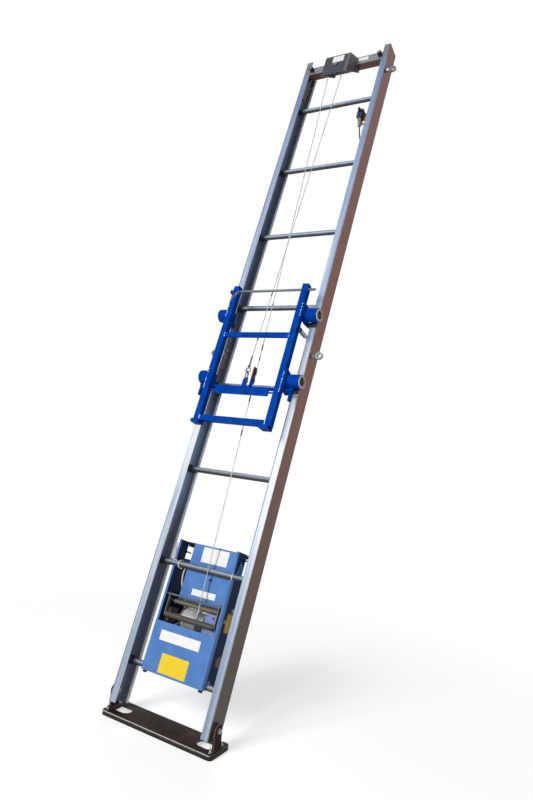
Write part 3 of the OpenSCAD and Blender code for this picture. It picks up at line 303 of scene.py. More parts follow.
def finish(name, tones, patch, stretch=(1, 1, 1), places=None, metal=0, rough=(0.4, 0.5), grain=1,
           bump=0, specular=0.5, edge_wear_and_highlight=None, whole=0.47, zones=(), specks=None, rungs=None):
    """A finish that varies over patches of that many millimetres, drawn out by stretch on the ladder's axes.

    tones: hex colours of the variation, at those places of the noise or evenly from 0.3 to 0.7 of it.
    grain, bump: size and height of the fine grain, in millimetres.
    wear: (radius in millimetres, hex, strength) of the rubbed edges, on the foot and the pulley box also a
    painted highlight, left whole where the noise is lower.
    zones: (bounds, hex, share) of places of another colour, bounds giving (low, high) or (low, high, fade) in
    millimetres for an axis of the ladder, 0 to 2, or of the row, x to z.
    specks: (size in millimetres, hex, share) of small marks.
    rungs: (stops, share) of a ramp of painted shade and painted reflection from the underside of each rung to
    its top."""
    material = bpy.data.materials.new(name)
    material.use_nodes = True
    tree = material.node_tree
    shader = tree.nodes["Principled BSDF"]
    place = add(tree, "TexCoord", out="Object")
    row_hinge, hinge = ([c / MM for c in (0, *at)] for at in (HINGE_IN_ROW, HINGE_ON_LADDER))
    from_hinge = add(tree, "VectorMath", MINUS, i0=place, i1=row_hinge)
    ladder = add(tree, "Mapping", Vector=from_hinge, Rotation=(LEAN, 0, 0), Location=hinge)
    drawn = add(tree, "VectorMath", TIMES, i0=ladder, i1=stretch)
    broad = add(tree, "TexNoise", Vector=drawn, Scale=MM / patch, Detail=4, Roughness=0.6)
    fine = add(tree, "TexNoise", Vector=drawn, Scale=MM / grain, Detail=2)
    on_axis = dict(zip((0, 1, 2), add(tree, "SeparateXYZ", out=None, Vector=ladder)))
    on_axis.update(zip("xyz", add(tree, "SeparateXYZ", out=None, Vector=place)))
    stops = tuple(zip(places or np.linspace(NOISE_LOW, NOISE_HIGH, len(tones)), tones))
    colour = add(tree, "ValToRGB", stops=stops, Fac=broad)

    layers = []
    if rungs:
        stops, share = rungs
        above = add(tree, "Math", MINUS, i0=on_axis[2], i1=(RUNG_FIRST - RUNG_R) / MM)
        climb = add(tree, "Math", {"operation": "MODULO"}, i0=above, i1=RUNG_PITCH / MM)
        round_it = add(tree, "MapRange", Value=climb, From_Max=2 * RUNG_R / MM)
        layers.append((share, add(tree, "ValToRGB", stops=stops, Fac=round_it)))
    for bounds, code, factor in zones:
        for axis, ends in bounds.items():
            inside = band(tree, on_axis[axis], *ends)
            factor = add(tree, "Math", TIMES, i0=inside, i1=factor)
        layers.append((factor, linear(code)))
    if specks:
        size, code, share = specks
        low, high = SPECK_NOISE
        spots = add(tree, "TexNoise", Vector=ladder, Scale=MM / size, Detail=3, Roughness=0.7)
        mask = add(tree, "MapRange", Value=spots, From_Min=low, From_Max=high, To_Max=share)
        layers.append((mask, linear(code)))
    if edge_wear_and_highlight:
        radius, code, strength = edge_wear_and_highlight
        low, high = EDGE_COSINES
        eased = add(tree, "Bevel", {"samples": 6}, Radius=radius / MM)
        facing = add(tree, "NewGeometry", out="Normal")
        same = add(tree, "VectorMath", {"operation": "DOT_PRODUCT"}, out="Value", i0=eased, i1=facing)
        edge = add(tree, "MapRange", Value=same, From_Min=low, From_Max=high, To_Max=strength)
        broken = add(tree, "MapRange", Value=broad, From_Min=whole - BREAK, From_Max=whole + BREAK)
        layers.append((add(tree, "Math", TIMES, i0=edge, i1=broken), linear(code)))
    for factor, over in layers:
        colour = add(tree, "Mix", {"data_type": "RGBA"}, out=2, i0=factor, i6=colour, i7=over)

    tree.links.new(colour, shader.inputs["Base Color"])
    roughness = add(tree, "MapRange", Value=fine, From_Min=NOISE_LOW, From_Max=NOISE_HIGH, To_Min=rough[0],
                    To_Max=rough[1])
    tree.links.new(roughness, shader.inputs["Roughness"])
    shader.inputs["Metallic"].default_value = metal
    shader.inputs["Specular IOR Level"].default_value = specular
    if bump:
        raised = add(tree, "Bump", Height=fine, Distance=bump / MM, Strength=1)
        tree.links.new(raised, shader.inputs["Normal"])
    return material


ALONG, ACROSS = (1, 1, 0.02), (0.02, 1, 1)


def both_sides(low, high, *fade):
    """A band across the ladder on its right side, and the same on its left."""
    return (low, high, *fade), (-high, -low, *fade)


# Faces of the rails across the ladder and to the back, and runs up the rails with their fades
OUTER_WEBS, INNER_WEBS, BACK_LIPS = both_sides(294.2, 296), both_sides(290, 293), both_sides(253, 267, 3)
BACK_FLANGE, FRONT_FACE, BY_FRONT_FLANGE = (95, 97), (-1.5, 0.6), (0, 16, 16)
RIGHT_FLANGE, LEFT_FLANGE = (250, 300), (-300, -250)
FLANGE_INSIDE, FLANGE_EDGE = (250, 274, 8), (250, 260, 1.5)
SEAM = (SECTION_JOINT - 1.2, SECTION_JOINT + 1.2)
FOOT_END, LOW_WEB, HEAD_END = (-50, 400, 900), (-50, 300, 1200), (3800, 4100, 1000)
RIGHT_RUN, LEFT_RUN, PALER_WEB_RUN = (900, 1550, 400), (1300, 1600, 300), (1060, 1460, 200)


def web_zones(outside, inside, low_outside=None):
    """Zones of a rail: a painted reflection of brown ground on its outer web, darker near the foot; painted
    shade on its inner web and on the back flange's inner face; the seam of the two sections; a painted brown
    reflection inside the front flange; and a painted highlight along the back flange's lip."""
    zones = [({0: web}, outside, 0.95) for web in OUTER_WEBS]
    zones += [({0: web}, inside, 0.9) for web in INNER_WEBS]
    if low_outside:
        zones += [({0: web, 2: LOW_WEB}, low_outside, 0.95) for web in OUTER_WEBS]
    zones += [({0: web, 2: SEAM}, "#2E211C", 0.9) for web in OUTER_WEBS]
    zones += [({0: web, 1: BY_FRONT_FLANGE}, "#5A4238", 0.7) for web in INNER_WEBS]
    zones += [({1: BACK_FLANGE}, inside, 0.9)]
    return zones + [({1: BACK_FLANGE, 0: lip}, "#FAFBFC", 0.95) for lip in BACK_LIPS]


# Mill-finish aluminium, drawn through a die: pale, with fine dull streaks 9 mm wide along the rail. The webs
# carry a painted reflection of brown ground outside and painted shade inside, the shade paler over a stretch
# of the left one. The front flanges are paler below the carriage, the right one with a darker edge. At the
# foot they are duller.
RAIL = dict(patch=9, stretch=ALONG, metal=0.35, rough=(0.36, 0.5), grain=1.2, bump=0.02, specular=0.3)
lower_zones = web_zones("#835444", "#59606E", "#544C45") + [
    ({1: FRONT_FACE, 2: FOOT_END}, "#75849A", 0.4),
    ({0: RIGHT_FLANGE, 1: FRONT_FACE, 2: RIGHT_RUN}, "#D6D6D6", 0.45),
    ({0: FLANGE_EDGE, 2: RIGHT_RUN}, "#64748F", 0.9),
    ({0: LEFT_FLANGE, 1: FRONT_FACE, 2: LEFT_RUN}, "#DCDCDA", 0.6),
    ({0: INNER_WEBS[1], 2: PALER_WEB_RUN}, "#8AA0BE", 0.8),
    ({0: FLANGE_INSIDE, 1: FRONT_FACE, 2: FOOT_END}, "#68778E", 0.5)]
lower_aluminium = finish(
    "mill_finish_aluminium", ("#8896AC", "#ADBACB", "#D4DBE4"), **RAIL, edge_wear_and_highlight=(1.2, "#E4EBF2", 0.6),
    zones=lower_zones)

# The same alloy higher up, with a browner painted reflection on its outer web, its flanges darker and bluer
# towards the head
upper_zones = web_zones("#85503F", "#565F74") + [({1: FRONT_FACE, 2: HEAD_END}, "#5C71A0", 0.6)]
upper_aluminium = finish(
    "upper_mill_aluminium", ("#788CB0", "#99AAC5", "#BFC9D9"), **RAIL, edge_wear_and_highlight=(1.2, "#DCE6F2", 0.6),
    zones=upper_zones)

# Brushed aluminium of the short head rails: darker gun-metal grey with streaks 6 mm wide, its webs with a
# painted brown reflection outside and painted shade inside
head_aluminium = finish(
    "brushed_gunmetal_aluminium", ("#666B76", "#8D929C"), 6, ALONG, metal=0.4, rough=(0.36, 0.52),
    bump=0.02, specular=0.3, edge_wear_and_highlight=(1.4, "#C9CDD4", 0.7), zones=web_zones("#7C5A50", "#33363E"))

# Drawn aluminium tube, dark where it is swaged into the rails; a ramp round each rung paints shade
# underneath, a pale reflection in front and a duller grey on top
SWAGED = [({0: end}, "#31353B", 0.9) for end in both_sides(262, 292)]
TUBE = dict(tones=("#54585D", "#777C82", "#A2A7AC"), patch=8, stretch=ACROSS, metal=0.15, rough=(0.38, 0.52),
            grain=1.6, bump=0.01, specular=0.15, zones=SWAGED)
LOW_RUNG_SHADING = ((0, "#2A2622"), (0.2, "#2B2724"), (0.3, "#4C4644"), (0.4, "#66666F"), (0.52, "#828A98"),
            (0.64, "#A2B0C6"), (0.76, "#9BABC4"), (0.88, "#6E7484"), (1, "#585A66"))
low_rung_aluminium = finish(
    "drawn_tube_aluminium", **TUBE, rungs=(LOW_RUNG_SHADING, 0.82), specks=(30, "#4C443E", 0.3))

# The same tube in the upper section, its ramp a painted brown reflection and painted shade underneath and a
# clean bluish painted reflection in front
HIGH_RUNG_SHADING = ((0, "#4A3226"), (0.07, "#503A2F"), (0.13, "#2E3238"), (0.2, "#55708A"), (0.3, "#86A6C2"),
             (0.44, "#AEBED2"), (0.6, "#8A8A98"), (1, "#A89C9C"))
high_rung_aluminium = finish(
    "clean_tube_aluminium", **TUBE, rungs=(HIGH_RUNG_SHADING, 0.86), specks=(30, "#4C443E", 0.25))

# Charcoal powder paint on folded sheet: satin, its bright edges partly rubbed and partly a painted highlight,
# with a painted brown reflection of the ground at its right end
dark_steel = finish(
    "charcoal_powder_paint", ("#2B303A", "#3F4550"), 22, places=(0.35, 0.65), rough=(0.4, 0.54), grain=0.9,
    bump=0.03, specular=0.3, edge_wear_and_highlight=(2.4, "#C3C6CA", 0.95), specks=(9, "#6A6660", 0.3),
    zones=(({0: (68, 90)}, "#7D6E74", 0.55),))

# Brushed steel beam: grey, streaked across, with a painted brown reflection of the ground underneath
beam_steel = finish(
    "brushed_beam_steel", ("#666C72", "#7F868C", "#9CA2A8"), 7, ACROSS, metal=0.35, rough=(0.38, 0.54),
    grain=0.9, bump=0.02, specular=0.3, edge_wear_and_highlight=(2, "#CDD2D6", 0.75),
    zones=(({2: (3951, 3952.8)}, "#5E4034", 0.95),))

# Dull galvanised steel plate: grey brown with a faint zinc bloom
joint_steel = finish(
    "dull_galvanised_steel", ("#4A4642", "#635D58", "#7E7974"), 13, metal=0.35, rough=(0.44, 0.62),
    grain=1.4, bump=0.02, edge_wear_and_highlight=(1.5, "#A9ADB3", 0.6))

# Bright zinc plate on bolts: silver with a faint bluish mottle
zinc_steel = finish(
    "bright_zinc_plate", ("#60666C", "#80878D", "#A3A8AC"), 5, metal=0.6, rough=(0.3, 0.46), grain=0.8,
    bump=0.01, specks=(5, "#4A4743", 0.4))

# White zinc plate on the foot's studs: paler, little worn
white_zinc = finish(
    "white_zinc_plate", ("#8E9498", "#B4B9BC", "#D6D9DA"), 5, metal=0.4, rough=(0.34, 0.48), grain=0.8,
    bump=0.01, specks=(5, "#56524D", 0.4))

# Oiled steel of the axles' bolts: nearly black, with a dull shine
oiled_steel = finish(
    "oiled_dark_steel", ("#1B1A19", "#2B2A29", "#454443"), 6, metal=0.4, rough=(0.36, 0.5), grain=0.8,
    bump=0.01, specular=0.3)

# Drawn bright steel rod: mid grey, scuffed along its length
rod_steel = finish(
    "drawn_steel_rod", ("#434A51", "#5B636A", "#788087"), 7, ACROSS, metal=0.6, rough=(0.3, 0.45),
    grain=0.8, bump=0.01, specks=(9, "#4E423B", 0.4))

# Steel of the foot in a dark brown that is a painted reflection of brown surroundings, mottled where boots
# rub it, with a painted highlight along the edges, above all along the plate's front edge
FOOT_FRONT, FOOT_TOP = -74, 22
foot_edge_highlight = {"y": (FOOT_FRONT - 1, FOOT_FRONT + 3.4), "z": (FOOT_TOP - 3, FOOT_TOP + 1)}
foot_steel = finish(
    "foot_steel_painted_reflection", ("#1E1613", "#2E221D", "#3B2C25", "#56453A"), 70, places=(0.32, 0.5, 0.62, 0.76),
    rough=(0.5, 0.64), grain=1.1, bump=0.03, specular=0.06, edge_wear_and_highlight=(4, "#B9B2AB", 0.9), whole=0.4,
    specks=(16, "#4A3F38", 0.35), zones=((foot_edge_highlight, "#D2DAD8", 0.85),))

# Moulded black rubber: matt, faintly dusty
black_rubber = finish(
    "moulded_black_rubber", ("#121212", "#201F1E"), 16, places=(0.35, 0.7), rough=(0.62, 0.8), grain=0.8,
    bump=0.05, specular=0.3, specks=(5, "#45423F", 0.3))

# Turned steel of the pulley and the drum: a satin grey, bright along the edges
machined_steel = finish(
    "turned_steel", ("#5F646A", "#8E9398"), 4, metal=0.7, rough=(0.3, 0.44), grain=0.8, bump=0.01,
    edge_wear_and_highlight=(1, "#CDD0D3", 0.6))

# Yellow paint on small sheet brackets, chipped at the edges
switch_yellow = finish(
    "yellow_enamel", ("#D8A400", "#F2C40C"), 12, rough=(0.34, 0.46), grain=0.9, bump=0.02, specular=0.3,
    edge_wear_and_highlight=(1.2, "#8F8A80", 0.6))

# Glass-filled black plastic of the switch: matt and finely grained
switch_black = finish(
    "moulded_black_plastic", ("#101113", "#1D1F23"), 10, places=(0.35, 0.7), rough=(0.42, 0.58), grain=0.7,
    bump=0.03, specular=0.35, edge_wear_and_highlight=(0.8, "#5A5D62", 0.5))

# Grey polyamide of the cable gland and the small contact block: matt
gland_grey = finish(
    "grey_polyamide", ("#6B7274", "#8F9698"), 9, rough=(0.45, 0.6), grain=0.7, bump=0.02, specular=0.35,
    edge_wear_and_highlight=(0.8, "#C4C9CA", 0.6))

# Dark blue polyamide of the switch's key plate: smooth, with a soft sheen
key_blue = finish(
    "blue_polyamide", ("#142C74", "#20409A"), 9, rough=(0.42, 0.55), grain=0.7, bump=0.02, specular=0.3)

# Extruded cable sheath, dark grey: smooth with a soft sheen
SHEATH = dict(rough=(0.42, 0.55), grain=0.8, bump=0.01)
cable_black = finish("dark_cable_sheath", ("#35373B", "#515459"), 14, places=(0.35, 0.7), **SHEATH)

# Extruded cable sheath, cream, a little soiled
cable_cream = finish(
    "cream_cable_sheath", ("#E4DCC8", "#F2ECDF", "#F8F5EC"), 24, places=(0.3, 0.6, 0.8), **SHEATH,
    specks=(7, "#8C8066", 0.35))

# Light blue enamel on the winch's sheet steel: even, with a fine orange-peel texture and pale rubbed edges
# The two dark blues below are painted shade, inside the housing and on its right side
PAINTED_INNER_SHADE, SIDE_SHADE = "#0B1836", "#0C1D48"
ENAMEL = dict(tones=("#4A76B6", "#507EBF", "#5886C6"), patch=60, rough=(0.36, 0.48), grain=1.6, bump=0.02,
              edge_wear_and_highlight=(1.6, "#8FB2E4", 0.7), specks=(8, "#3C5F9A", 0.22))
winch_blue = finish("light_blue_enamel", **ENAMEL, specular=0.25)

# The same enamel on the side plates, with painted shade on the faces that look into the housing and on the
# face by the right rail, behind a painted highlight along that face's front edge
RIGHT_SIDE = (181.2, 183)
side_zones = [({0: face}, PAINTED_INNER_SHADE, 0.95) for face in both_sides(178.3, 179.7)] + [
    ({0: (-179.5, 179.5), 1: (200, 202.6)}, PAINTED_INNER_SHADE, 0.95),
    ({0: RIGHT_SIDE, 1: (20, 50)}, "#86B0F0", 0.8),
    ({0: RIGHT_SIDE, 1: (50, 215, 6)}, SIDE_SHADE, 0.93),
    ({0: RIGHT_SIDE, 1: (34, 215, 5), 2: (700, 830)}, SIDE_SHADE, 0.93)]
side_blue = finish("light_blue_enamel_painted_shade", **ENAMEL, specular=0.06, zones=side_zones)

# The same on the top cover, with painted shade under its roof and inside its fold
OPEN_CORNER = (-180, -126.5)
roof_zones = [(bounds, PAINTED_INNER_SHADE, 0.95) for bounds in (
    {1: (88.5, 206), 2: (790, 812.6)}, {0: OPEN_CORNER, 2: (806, 814.4)},
    {0: OPEN_CORNER, 2: (690, 728.2)}, {1: (87.3, 89)})]
top_blue = finish("light_blue_enamel_roof", **ENAMEL, specular=0.25, zones=roof_zones)

# Nearly black matt sheet, painted shade inside the housing
painted_shade_sheet = finish(
    "dark_painted_shade_sheet", ("#0A0F1C", "#141C30"), 20, rough=(0.5, 0.64), grain=1.2, bump=0.02, specular=0.2)

# Dark grey motor paint: semi-matt, paler on rubbed edges, brown on the cap in the housing's side
SIDE_CAP = (({0: (177, 192)}, "#6B5136", 0.9),)
motor_grey = finish(
    "dark_motor_paint", ("#2C3037", "#454B55"), 26, rough=(0.42, 0.6), grain=1.2, bump=0.05, specular=0.35,
    edge_wear_and_highlight=(1.4, "#7C828A", 0.5), zones=SIDE_CAP)

# Pale lilac-blue paint on the gearbox's casting: slightly rough, with the same brown on its cap
gearbox_lilac = finish(
    "lilac_casting_paint", ("#6E7CB4", "#8894C8"), 18, rough=(0.4, 0.55), grain=1.6, bump=0.06,
    specular=0.3, edge_wear_and_highlight=(1.6, "#C6C9E6", 0.5), specks=(6, "#6A6C92", 0.35), zones=SIDE_CAP)

# Zinc-coated spring wire: pale, a little yellow
clip_wire = finish(
    "zinc_spring_wire", ("#C9C3B2", "#E4DFD2"), 6, metal=0.3, rough=(0.3, 0.42), grain=0.8, bump=0.01)

# Bare sheet steel of the pointed tab: light warm grey
hook_steel = finish(
    "bare_sheet_steel", ("#A8A49F", "#CBC8C3"), 10, metal=0.3, rough=(0.38, 0.52), grain=0.9, bump=0.02,
    edge_wear_and_highlight=(1.2, "#E6E4E0", 0.6), specks=(8, "#86796C", 0.4))

# Greased steel wire rope: light grey strands, with lumps of dark grease at places along both runs
HOIST_RUN, CARRIAGE_RUN = (-50, 70), (-90, -60)
HOIST_GREASE = ((1398, 1433), (1585, 1623), (1690, 1720), (1742, 1768), (1829, 1852), (1889, 1929),
                (2167, 2181))
CARRIAGE_GREASE = ((1908, 1933), (2184, 2208))
grease = [({1: run, 2: (*mark, 3)}, "#171513", 0.95) for run, marks in (
    (HOIST_RUN, HOIST_GREASE), (CARRIAGE_RUN, CARRIAGE_GREASE)) for mark in marks]
wire_rope = finish(
    "greased_steel_strand", ("#4A4542", "#A29D9A", "#BDB8B5", "#D2CECB"), 90, (0.2, 0.2, 1),
    places=(0.30, 0.36, 0.5, 0.8), metal=0.4, rough=(0.38, 0.54), bump=0.02, zones=grease)

# Rope on the drum: clean grey steel strand
drum_rope = finish(
    "clean_steel_strand", ("#A4A6A6", "#C2C4C4", "#DADCDC"), 14, metal=0.4, rough=(0.36, 0.5), bump=0.02)

# Worn rubber tube on the pressure roller: dark brown, dull
roller_rubber = finish(
    "worn_roller_rubber", ("#2C2823", "#443E36", "#625A4F"), 20, ACROSS, rough=(0.45, 0.62), bump=0.04)

# Cast olive nylon of the guide roller: waxy, streaked by the rope
roller_olive = finish(
    "cast_olive_nylon", ("#4E4A36", "#6C674C", "#928D70"), 16, ACROSS, rough=(0.36, 0.5), bump=0.02)

# Deep blue gloss paint on the carriage's welded steel, with thin spots on the edges
DEEP_BLUE = dict(tones=("#00368F", "#0040A0", "#024CB2"), patch=45, rough=(0.42, 0.54), grain=1.4, bump=0.03,
                 specular=0.02, edge_wear_and_highlight=(1.6, "#2E70D0", 0.6))
carriage_blue = finish("deep_blue_gloss_paint", **DEEP_BLUE, specks=(9, "#00206A", 0.4))

# The same paint on the catch, with the slack lever left bare and rusty
slack_lever = {0: (23.5, 34.5), 2: (1690, 1770, 8)}
catch_blue = finish(
    "blue_paint_and_bare_lever", **DEEP_BLUE, specks=(9, "#001C5C", 0.4),
    zones=((slack_lever, "#5A382A", 0.95),))

# Weld ripples under the blue paint, their white spots partly bare metal where the paint has left them and
# partly painted glints
weld_paint = finish(
    "painted_weld_bead", ("#0A3FA4", "#5C86CE", "#E2E7EE", "#F2F4F7"), 16, places=(0.40, 0.45, 0.49, 0.8),
    rough=(0.36, 0.5), bump=0.03, specular=0.25)

# Zinc-plated striker peg on its black block
SLEEVE_FRONT, SLEEVE_END = -61.5, -2
ZINC = dict(patch=8, rough=(0.4, 0.52), grain=0.8, bump=0.01)
peg_steel = finish(
    "zinc_peg", ("#6E757B", "#8A9197", "#A6ACB0"), **ZINC, metal=0.2, specular=0.3,
    zones=(({1: (-90, SLEEVE_FRONT)}, "#121315", 0.97),), specks=(7, "#6A6662", 0.35))

# Zinc-plated tube of the peg's sleeve: silver, with a painted brown reflection of the ground underneath
sleeve_steel = finish(
    "zinc_tube", ("#B2B7B9", "#CDD1D2", "#E2E4E4"), **ZINC, metal=0.1, specular=0.2,
    zones=(({2: (1960, 1968, 3)}, "#42322B", 0.9),), specks=(7, "#8A8682", 0.3))

# Low-friction black plastic of the shoes: waxy and even
shoe_black = finish(
    "low_friction_plastic", ("#111112", "#1E1F21"), 12, places=(0.35, 0.7), rough=(0.38, 0.5), grain=0.8,
    bump=0.02, specular=0.3)

# Cast cream nylon of the roller bushes: waxy, with painted shade in the recess round the bore
bore_shades = [{0: ends, 1: (-57, -18.5), 2: (v - 19, v + 19)}
         for ends in both_sides(290, 315.4) for v in AXLE_VS]
bush_cream = finish(
    "cast_cream_nylon", ("#BDB598", "#D2CBB4", "#E2DDCC"), 12, places=(0.3, 0.6, 0.8), rough=(0.36, 0.5),
    grain=0.9, bump=0.02, specks=(6, "#6A6048", 0.4), zones=[(bore, "#15130F", 0.96) for bore in bore_shades])

# White coated sheet of the blank plates: even and slightly glossy
LABEL = dict(patch=120, rough=(0.35, 0.45), bump=0.01, specular=0.3)
label_white = finish("white_label_sheet", ("#EDEDEB", "#F4F4F2"), **LABEL)

# Yellow coated sheet: as even and glossy as the white one
label_yellow = finish("yellow_label_sheet", ("#ECCA24", "#F2D22C"), **LABEL)

# The yellow sheet on the housing's shaded side, darkened to ochre as painted shade
label_yellow_shaded = finish(
    "yellow_label_painted_shade", ("#D0A31A", "#DAAC20"), 60, rough=(0.4, 0.5), bump=0.01, specular=0.3)

# Which finish each CAD node has
NODE_FINISH = {
    foot_steel: "foot_plate foot_ears",
    black_rubber: "foot_pad head_buffers",
    zinc_steel: "pivot_bolts eye_bolts pulley_axle rope_shackle",
    white_zinc: "foot_studs",
    oiled_steel: "roller_axles",
    rod_steel: "lock_rod tie_rods",
    lower_aluminium: "left_lower_rail right_lower_rail",
    upper_aluminium: "left_upper_rail right_upper_rail",
    head_aluminium: "head_rails",
    low_rung_aluminium: "lower_rungs",
    high_rung_aluminium: "upper_rungs",
    joint_steel: "joint_plates drum_bearing pressure_arms",
    beam_steel: "head_beam",
    dark_steel: "pulley_box",
    machined_steel: "head_pulley rope_drum",
    switch_yellow: "switch_bracket switch_lever",
    switch_black: "switch_body",
    winch_blue: "winch_front_cover winch_mid_cover",
    side_blue: "winch_left_side winch_right_side rung_hooks",
    top_blue: "winch_top_cover",
    clip_wire: "rung_clips",
    motor_grey: "winch_motor",
    gearbox_lilac: "winch_gearbox",
    roller_rubber: "pressure_roller",
    roller_olive: "guide_roller",
    carriage_blue: "side_bars cross_bars gussets bottom_lips upper_left_roller upper_right_roller "
                   "lower_left_roller lower_right_roller",
    catch_blue: "safety_catch",
    shoe_black: "guide_shoes",
    peg_steel: "striker_peg",
    bush_cream: "upper_left_bush upper_right_bush lower_left_bush lower_right_bush",
}
for material, names in NODE_FINISH.items():
    for name in names.split():
        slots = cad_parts[name].data.materials
        slots.clear()
        slots.append(material)


# Ropes and cables, which stand for the CAD's plain ones

def rope_line(a, b, step=4):
    """Points about every step from a to b."""
    t = np.linspace(0, 1, max(2, int(np.linalg.norm(np.subtract(b, a)) / step)))[:, None]
    return np.asarray(a, float) + t * np.subtract(b, a)


def greased(line, marks, swell=1.3, slope=6):
    """Rope radius along a line: it grows by swell inside each mark up the rails, over slope at its ends."""
    v = np.asarray(line)[:, 2]
    inside = [np.clip(np.minimum(v - low, high - v) / slope, 0, 1) for low, high in marks]
    return ROPE_R + swell * np.max(inside, 0)


over = np.linspace(math.pi, 0, 50)
pulley_arc = np.stack([PULLEY_R * np.cos(over), np.full_like(over, -PULLEY_FRONT),
                       PULLEY_V + PULLEY_R * np.sin(over)], -1)
pulley_left, pulley_right = ((s * PULLEY_R, -PULLEY_FRONT, ROPE_LEAVES) for s in SIDES)
hoist_path = np.concatenate([rope_line((ROPE_U, DRUM_BACK - WIND_R, DRUM_V), pulley_left), pulley_arc,
                             [pulley_right]])
hoist = piece("hoist_wire_rope", [stranded(hoist_path, greased(hoist_path, HOIST_GREASE))], wire_rope)
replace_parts(hoist, "hoist_rope")

carriage_path = rope_line(pulley_right, (LUG_U, -LUG_FRONT, FERRULE_TOP))
carriage_rings = stranded(carriage_path, greased(carriage_path, CARRIAGE_GREASE))


def hauled(name, low, high):
    """Length of the rope to the carriage between two shares of its run, cut at the nearest rings, on no body
    and with its transform baked in."""
    last = len(carriage_path) - 1
    first, final = round(low * last), round(high * last)
    low, high = first / last, final / last
    rope = piece(name, [carriage_rings[first:final + 1]], wire_rope, None)
    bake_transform(rope)
    return rope


hauled("carriage_rope_at_pulley", 0, ROPE_END_SHARE)
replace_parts(hauled("carriage_wire_rope", ROPE_END_SHARE, 1 - ROPE_END_SHARE), "carriage_rope")
hauled("carriage_rope_at_lug", 1 - ROPE_END_SHARE, 1)

turn = np.linspace(0, WIND_LOOPS * TAU, WIND_LOOPS * 90)
wind_path = np.stack([WIND_START - WIND_PITCH * turn / TAU, DRUM_BACK - WIND_R * np.cos(turn),
                      DRUM_V - WIND_R * np.sin(turn)], -1)
winding = piece("wound_wire_rope", [stranded(wind_path, sides=12, across=RIGHT)], drum_rope, "drum")
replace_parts(winding, "rope_winding")

CABLE_R, CABLE_SIDES = 4, 14
switch_route = [
    (218, 19, 3426.3), (218, 27, 3412.4), (219, 42, 3386), (223, 56, 3360), (233, 70, 3332), (247, 81, 3302),
    (261, 88, 3268), (270, 90, 3230), (274, 90, 3180), (274, 90, 2600), (274, 90, 2000), (274, 90, 1400),
    (274, 90, 900), (273, 90, 865), (266, 90, 835), (252, 91, 812), (236, 94, 796), (218, 99, 787),
    (198, 100, 785), (182, 100, 785)]
switch_line = piece("limit_switch_cable", [sweep(smooth_path(switch_route, 9), CABLE_R, CABLE_SIDES)],
                    cable_black)
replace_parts(switch_line, "switch_cable")

lead_route = [
    (-100, 130, 812), (-100, 130, 796), (-108, 124, 770), (-124, 114, 745), (-142, 107, 718),
    (-155, 103, 688), (-159, 101, 655), (-155, 103, 620), (-147, 110, 590), (-139, 124, 565),
    (-133, 142, 540), (-130, 156, 505), (-130, 160, 460), (-130, 154, 434), (-128, 138, 417),
    (-124, 116, 410), (-120, 102, 402), (-120, 102, 394)]
lead_line = piece("motor_power_lead", [sweep(smooth_path(lead_route, 6), CABLE_R, CABLE_SIDES, RIGHT)],
                  cable_cream)
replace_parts(lead_line, "motor_lead")


# Fittings too small for the CAD model

PLATE_T, PLATE_CORNER = 0.6, 2


def bare_plate(name, centre, size, material, right=RIGHT):
    """Thin plate with eased corners on a face whose right-hand way is given."""
    piece(name, [slab(centre, right, UP, size, PLATE_T, PLATE_CORNER, soft=0.2)], material)


bare_plate("front_white_plate", (-8.5, COVER_FRONT, 351.5), (239, 47), label_white)
bare_plate("front_yellow_plate", (-3.5, COVER_FRONT, 232), (163, 88), label_yellow)
bare_plate("middle_white_plate", (8, PANEL_FRONT, 581), (144, 30), label_white)
bare_plate("top_white_plate", (15, PANEL_FRONT, 768.5), (158, 75), label_white)
bare_plate("side_yellow_plate_shaded", (WINCH_HALF, 95.5, 483), (39, 88), label_yellow_shaded, BACK)
bare_plate("pulley_box_white_plate", (7, -BOX_FRONT, 3912), (76, 48), label_white)
bare_plate("beam_white_plate", (123, BEAM_FRONT, 3988), (71, 27), label_white)

# Round heads: radius and height
COVER_SCREW, SWITCH_SCREW, CHAIN_STUD, WELD_DOT = (4.2, 2.4), (2.8, 1.8), (5, 6), (3.4, 2)
cover_screws = [(s * 171, COVER_FRONT, v) for s in SIDES for v in (191, 399)]
cover_screws += [(u, PANEL_FRONT, v) for u in (-121, 168) for v in (545, 679)]
cover_screws += [(u, PANEL_FRONT, v) for u in (-116, 168) for v in (716, 803)]
piece("cover_screws", [dome_head(at, FRONT, *COVER_SCREW) for at in cover_screws], zinc_steel)

# Hexagon heads: across flats, height and the washer's radius
BOLT, BUFFER_BOLT, EYE_NUT = (13, 6, 9.5), (11, 4.5, 8.5), (24, 13)
side_bolts = [((s * WINCH_HALF, y, v), (s, 0, 0)) for s in SIDES
              for y, v in ((100, 543), (61, 487), (59, 212))]
piece("housing_side_bolts", hex_heads(side_bolts, *BOLT), zinc_steel)

foot_profile = [(9.5, 0), (10.5, 1.5), (10.8, 8), (9, 10.5), (4, 11)]
piece("housing_feet", [turned(foot_profile, (s * 168, 38, WINCH_LOW), DOWN) for s in SIDES], black_rubber)

GEAR_INSET = 9
gear_screws = [(u, GEAR_FRONT, v) for u in (GEAR_LEFT + GEAR_INSET, GEAR_RIGHT - GEAR_INSET)
               for v in (GEAR_LOW + GEAR_INSET, GEAR_HIGH - GEAR_INSET)]
socket_head = [(4.6, 0), (4.6, 4.2), (4, 5), (2.4, 5), (2.2, 2.2), (0.4, 2)]
piece("gearbox_screws", [turned(socket_head, at, FRONT) for at in gear_screws], zinc_steel)

